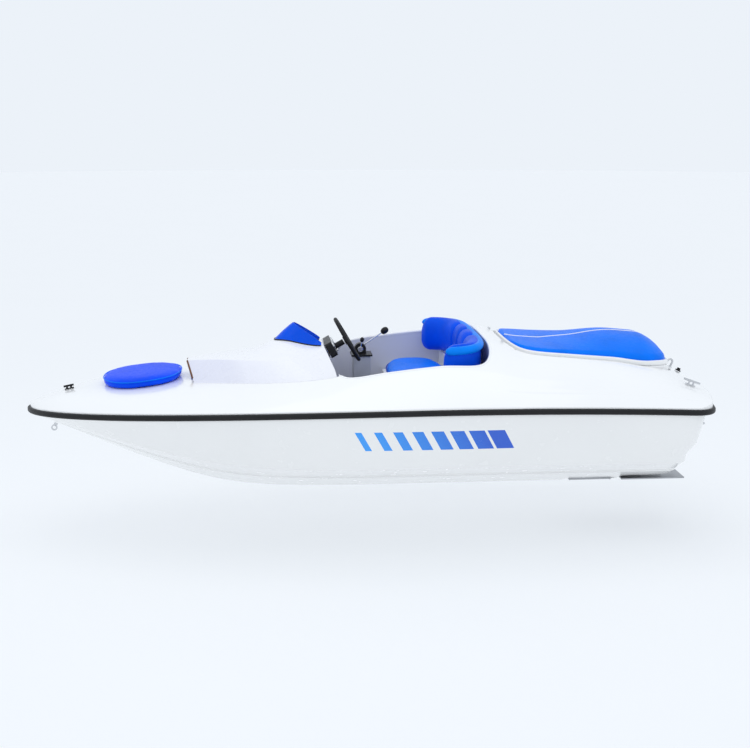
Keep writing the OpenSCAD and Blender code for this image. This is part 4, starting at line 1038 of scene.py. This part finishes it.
def back_pad():
    angles, length = even_angles(230)
    middle, half_h = (BACK_FOOT_H + BACK_TOP_H) / 2, (BACK_TOP_H - BACK_FOOT_H) / 2
    rings = []
    for k, a in enumerate(angles):
        s = k / (len(angles) - 1)
        full = end_round(s, length, 70)
        ring = []
        for phi in around(44):
            c, v = math.cos(phi), math.sin(phi)
            off = BACK_T * 0.36 * full * rounded(c, 0.8)
            if c < 0:
                off -= 34 * lobe_bulge(s) * full * abs(c)
            z = middle + half_h * (0.35 + 0.65 * full) * rounded(v, 0.8)
            if v > 0:
                z -= 30 * (1 - lobe_bulge(s)) * v * (1 - 0.5 * c)
            ring.append((*back_point(a, off), z))
        rings.append(ring)
    return loft("backrest_pad", rings)


def back_roll():
    angles, length = even_angles(230)
    rings = []
    for k, a in enumerate(angles):
        full = end_round(k / (len(angles) - 1), length, 45)
        sag = -12 * (abs(a) / (math.pi / 2)) ** 2
        ring = []
        for phi in around(28):
            z = ROLL_H + sag + ROLL_R * full * math.sin(phi)
            ring.append((*back_point(a, ROLL_OFF + ROLL_HALF_W * full * math.cos(phi)), z))
        rings.append(ring)
    return loft("backrest_top_roll", rings)


pad(back_pad(), "boat", BLUE_DEEP, "backrest", fill=0.9)
pad(back_roll(), "boat", BLUE_LIGHT, fill=0.9)

# Engine hatch and the two sun pads on it
hatch_points = hatch_grid(0)
hatch = slab("engine_hatch_panel", raised(hatch_points, hatch_z),
             raised(hatch_points, lambda x, y: hatch_z(x, y) - HATCH_T))
place(hatch, "hatch", DECK_WHITE, "deck_gelcoat", "engine_hatch", angle=45)
PAD_INSET, PAD_T, PAD_LIFT, PAD_SPLIT = 26, 45, 8, 6


def bulge(distance, radius):
    """How full a rounded edge is at a distance in from it."""
    return math.sqrt(max(0, 1 - max(0, 1 - distance / radius) ** 2))


def sun_pad(name, side):
    half_len = HATCH_LEN / 2 - PAD_INSET
    x0 = HATCH_MID - 2
    top, foot = [], []
    for a in np.linspace(86.5, -88, 84):
        x = x0 + half_len * math.sin(math.radians(a))
        w = max(hatch_half(x, -PAD_INSET), PAD_SPLIT + 12)
        ends = bulge(x0 + half_len - x + 1, 34) * bulge(x - x0 + half_len + 1, 40)
        top.append([])
        foot.append([])
        for v in np.linspace(0, 1, 34):
            y = mix(PAD_SPLIT / 2, w, 0.5 - 0.5 * math.cos(math.pi * v))
            full = ends * bulge(y - PAD_SPLIT / 2 + 0.5, 16) * bulge(w - y + 0.5, 34)
            z = hatch_z(x, y) + PAD_LIFT + 3
            top[-1].append((x, y * side, z + 1 + (PAD_T - PAD_LIFT - 3) * full))
            foot[-1].append((x, y * side, z))
    return slab(name, top, foot)


pad(sun_pad("sun_pad_port_cover", 1), "hatch", BLUE, "sun_pad_port")
pad(sun_pad("sun_pad_starboard_cover", -1), "hatch", BLUE, "sun_pad_starboard")
LIP_INSET = 13
LIP_SECTION = [(-7, 2), (-7, 25), (-4, 32), (0, 34), (4, 32), (7, 25), (7, 2)]


def lip_rings():
    """The raised lip round the pads, along the hatch's edge."""
    half_len = HATCH_LEN / 2 - LIP_INSET
    places = [HATCH_MID + half_len * math.sin(a) for a in np.radians(np.linspace(87, -88.5, 90))]
    port = [(x, hatch_half(x, -LIP_INSET)) for x in places]
    line = mirrored(port)
    rings = []
    for i, (x, y) in enumerate(line):
        (ax, ay), (bx, by) = line[i - 1], line[(i + 1) % len(line)]
        out = Vector((ay - by, bx - ax)).normalized()
        rings.append([(x + out.x * o, y + out.y * o, hatch_z(x, y) + h) for o, h in LIP_SECTION])
    return rings


place(loft("hatch_pad_lip", lip_rings(), closed_path=True), "hatch", DECK_WHITE, "deck_gelcoat", angle=50)
seam_places = np.linspace(HATCH_FRONT_X - PAD_INSET - 10, HATCH_AFT_X + PAD_INSET + 16, 80)
pad_seam = tube("sun_pad_seam", [(x, 0, hatch_z(x, 0) + PAD_T - 3) for x in seam_places], 6)
place(pad_seam, "hatch", WHITE_VINYL, "vinyl_blue")

# ---- helm
HELM = (175, 0, 1035)
COLUMN_TILT = 30
WHEEL_D, RIM_D = 343, 26
DASH_X, DASH_H, DASH_T = 312, 975, 48


def tilted(x, z):
    return Matrix.Translation(world((x, 0, z))) @ Matrix.Rotation(math.radians(COLUMN_TILT - 90), 4, "Y")


def local(obj):
    """Takes a mesh made with boat millimetres back to its own millimetres."""
    obj.data.transform(Matrix.Scale(1 / MM, 4) @ Matrix.Translation((0, 0, DRAFT * MM)))
    return obj


# Spokes: the angle of each, and its sections as (distance from the axis, width, height)
SPOKE_ANGLES = (90, 210, 330)
SPOKE_SECTIONS = ((24, 50, -12), (44, 40, -13), (80, 32, -13), (118, 30, -9), (140, 34, -5), (152, 42, -2))
HUB_PROFILE = [(0, -22), (29, -22), (33, -18), (33, -3), (30, 3), (25, 6), (24, 9), (12, 10.4), (0, 10.6)]


def wheel():
    """A padded rim with finger grips, three dished spokes and a hub."""
    ring_r = WHEEL_D / 2 - RIM_D / 2
    rim = []
    for a in around(288):
        r = RIM_D / 2 - 1.2 * (1 - abs(math.cos(18 * a)) ** 0.4)
        ring = [(ring_r + r * math.cos(b), r * math.sin(b)) for b in around(20)]
        rim.append([(out * math.cos(a), out * math.sin(a), z) for out, z in ring])
    parts = [local(loft("rim", rim, closed_path=True))]
    for a in SPOKE_ANGLES:
        rings = [[(r, w / 2 * rounded(math.cos(b)), z + 5 * rounded(math.sin(b))) for b in around(24)]
                 for r, w, z in SPOKE_SECTIONS]
        spoke = local(loft("spoke", rings))
        spoke.data.transform(Matrix.Rotation(math.radians(a), 4, "Z"))
        parts.append(spoke)
    parts.append(lathe("hub", HUB_PROFILE))
    return set_on(joined("steering_wheel_moulding", *parts), tilted(HELM[0], HELM[2]))


place(wheel(), "wheel", WHEEL_BLACK, "wheel_rubber", "steering_wheel", angle=40)

GAUGE_PLACES, GAUGE_UP, GAUGE_DIAL_R = (-104, -46, 46, 104), 14, 18.6


def turned_at(y, z, degrees):
    """A place on the dash face, across the gauges, turned in its plane."""
    return Matrix.Translation((GAUGE_UP, y, z)) @ Matrix.Rotation(math.radians(degrees), 4, "Z")


def dials():
    """Plain faces with ticks and a needle, inside the gauge bezels."""
    faces, marks = [], []
    for y in GAUGE_PLACES:
        face = lathe("face", [(0, 0), (GAUGE_DIAL_R, 0), (GAUGE_DIAL_R, 1.0), (0, 1.3)], 48)
        face.data.transform(Matrix.Translation((GAUGE_UP, y, DASH_T + 5.4)))
        faces.append(face)
        for a in range(-135, 136, 27):
            mark = local(block("mark", (-0.6, GAUGE_DIAL_R - 5, 0), (0.6, GAUGE_DIAL_R - 1.5, 0.5)))
            mark.data.transform(turned_at(y, DASH_T + 6.6, a - 90))
            marks.append(mark)
        tip = GAUGE_DIAL_R - 6
        needle = local(prism("needle", [(-1.2, -4), (1.2, -4), (0.3, tip), (-0.3, tip)], 0, 0.7))
        needle.data.transform(turned_at(y, DASH_T + 6.8, y * 0.9))
        marks.append(needle)
    at = tilted(DASH_X, DASH_H)
    return set_on(joined("gauge_dials", *faces), at), set_on(joined("gauge_marks", *marks), at)


dial_faces, dial_marks = dials()
place(dial_faces, "boat", DIAL, "gauge_glass")
place(dial_marks, "boat", BLACK, "dash_plastic")

# Control levers: a tapered rod on a boss, with a black grip
LEVER_PIVOT_X, LEVER_PIVOT_H = 53, 893.5


def lever(name, node, length, lean, rod_r, knob_r, y):
    boss = lathe("boss", [(0, -8), (18, -8), (20, -6), (20, 6), (18, 8), (0, 8)], 40)
    boss.data.transform(Matrix.Rotation(math.radians(90), 4, "X"))
    rod_end = length - knob_r * 0.8
    rod = lathe("rod", [(0, 0), (rod_r, 0), (rod_r * 0.75, rod_end), (0, rod_end)], 24)
    at = (Matrix.Translation(world((LEVER_PIVOT_X, y, LEVER_PIVOT_H)))
          @ Matrix.Rotation(math.radians(-lean), 4, "Y"))
    place(set_on(joined(name + "_rod", boss, rod), at), "boat", STEEL, "stainless", node, angle=30)
    sweep = np.radians(np.linspace(-78, 78, 17))
    profile = [(0, -1.25)] + [(math.cos(a) ** 0.85, 1.25 * math.sin(a)) for a in sweep] + [(0, 1.25)]
    knob = lathe(name + "_knob", [(r * knob_r, length + z * knob_r) for r, z in profile], 40)
    place(set_on(knob, at), "boat", BLACK, "dash_plastic", angle=60)


lever("throttle", "throttle_lever", 218, 56, 6, 24, -466)
lever("shift", "shift_lever", 70, 10, 5, 15, -394)

# ---- exact CAD pieces with a finish
# Material, slot, width of the softened edges in millimetres, and the nodes shown as they are
FINISHES = [
    (MAT_GREY, "sole_mat", 0.6, "cockpit_sole"),
    (BLACK, "dash_plastic", 3.0, "dash_panel"),
    (STEEL, "stainless", 0.8, "gauges", "ignition_switch"),
    (BLACK, "dash_plastic", 1.5, "steering_column", "control_head"),
    (GREY_BOX, "pedestal_grey", 7.0, "control_pedestal"),
    (DECK_WHITE, "deck_gelcoat", 8.0, "bench_base"),
    (STEEL, "stainless", 0.8, "hatch_hinges", "hatch_latch", "bow_eye", "tow_eye", "stern_eyes",
     "stern_cleats", "drain_plugs"),
    (BLACK, "dash_plastic", 1.0, "bow_light", "stern_light", "fuel_cap"),
    (ENGINE_PAINT, "engine_paint", 12.0, "engine"),
    (CAST, "jet_aluminium", 1.2, "intake_grate", "ride_plate", "jet_pump", "steering_nozzle",
     "reverse_bucket"),
    (STEEL, "stainless", 0.8, "drive_shaft", "impeller"),
]


def finish_node(obj, material, width):
    """Gives a CAD node softened edges and a material."""
    obj.data.materials.clear()
    obj.data.materials.append(material)
    obj.data.shade_smooth()
    weld = obj.modifiers.new("weld", "WELD")
    weld.merge_threshold = 1e-5
    bevel = obj.modifiers.new("edges", "BEVEL")
    bevel.width = width * MM
    bevel.segments = 2
    bevel.limit_method = "ANGLE"
    bevel.angle_limit = math.radians(38)
    bevel.use_clamp_overlap = True
    obj.modifiers.new("normals", "WEIGHTED_NORMAL")


for finish, slot_name, edge_width, *node_names in FINISHES:
    for node_name in node_names:
        finish_node(frame["nodes"][node_name], finish, edge_width)

# ---- camera, light and floor
CAMERA_AT = (0.774, 8.847, 2.295)
CAMERA_TARGET = (0.0, 0.0, 0.31)
LENS, SHIFT = 62.85, (0.0033, 0.0413)
LIGHT_AT, LIGHT_TARGET, LIGHT_SIZE, LIGHT_POWER = (0.5, 1.5, 6.0), (0, 0, 0.3), (7, 5), 70
FLOOR_Z, FLOOR_R = -0.60, 60
BACKDROP = (0.839, 0.888, 0.947)
FLOOR_GLOW = 0.5


def aimed(name, data, at, to):
    """Stands a camera or a light at one point, turned to another."""
    obj = bpy.data.objects.new(name, data)
    obj.location = at
    obj.rotation_euler = (Vector(to) - Vector(at)).to_track_quat("-Z", "Y").to_euler()
    bpy.context.scene.collection.objects.link(obj)
    return obj


def camera():
    data = bpy.data.cameras.new("camera")
    data.sensor_width = 36
    data.lens = LENS
    data.shift_x, data.shift_y = SHIFT
    data.clip_end = 200
    bpy.context.scene.camera = aimed("camera", data, CAMERA_AT, CAMERA_TARGET)


def overhead_light():
    data = bpy.data.lights.new("overhead", "AREA")
    data.shape = "RECTANGLE"
    data.size, data.size_y = LIGHT_SIZE
    data.energy = LIGHT_POWER
    aimed("overhead", data, LIGHT_AT, LIGHT_TARGET)


def studio():
    """A plain backdrop, and a round floor that glows a little, so that it has the backdrop's tone."""
    w = bpy.data.worlds.new("studio")
    w.use_nodes = True
    w.node_tree.nodes["Background"].inputs["Color"].default_value = (*BACKDROP, 1)
    w.node_tree.nodes["Background"].inputs["Strength"].default_value = 1.0
    bpy.context.scene.world = w
    bpy.context.scene.view_settings.view_transform = "Standard"
    m, nt, bsdf = tree("floor", Emission_Color=(*BACKDROP, 1), Emission_Strength=FLOOR_GLOW,
                       Roughness=0.9, Specular_IOR_Level=0.1)
    varied(nt, bsdf, [1 - FLOOR_GLOW] * 3, 0.004, 0.8)
    sides = 96
    points = [(r * math.cos(a), r * math.sin(a), FLOOR_Z) for r in (1, FLOOR_R) for a in around(sides)]
    faces = rings_faces(2, sides, caps=False) + [tuple(range(sides))]
    floor = obj_from("floor", points, faces, in_mm=False)
    floor.data.materials.append(m)


camera()
overhead_light()
studio()
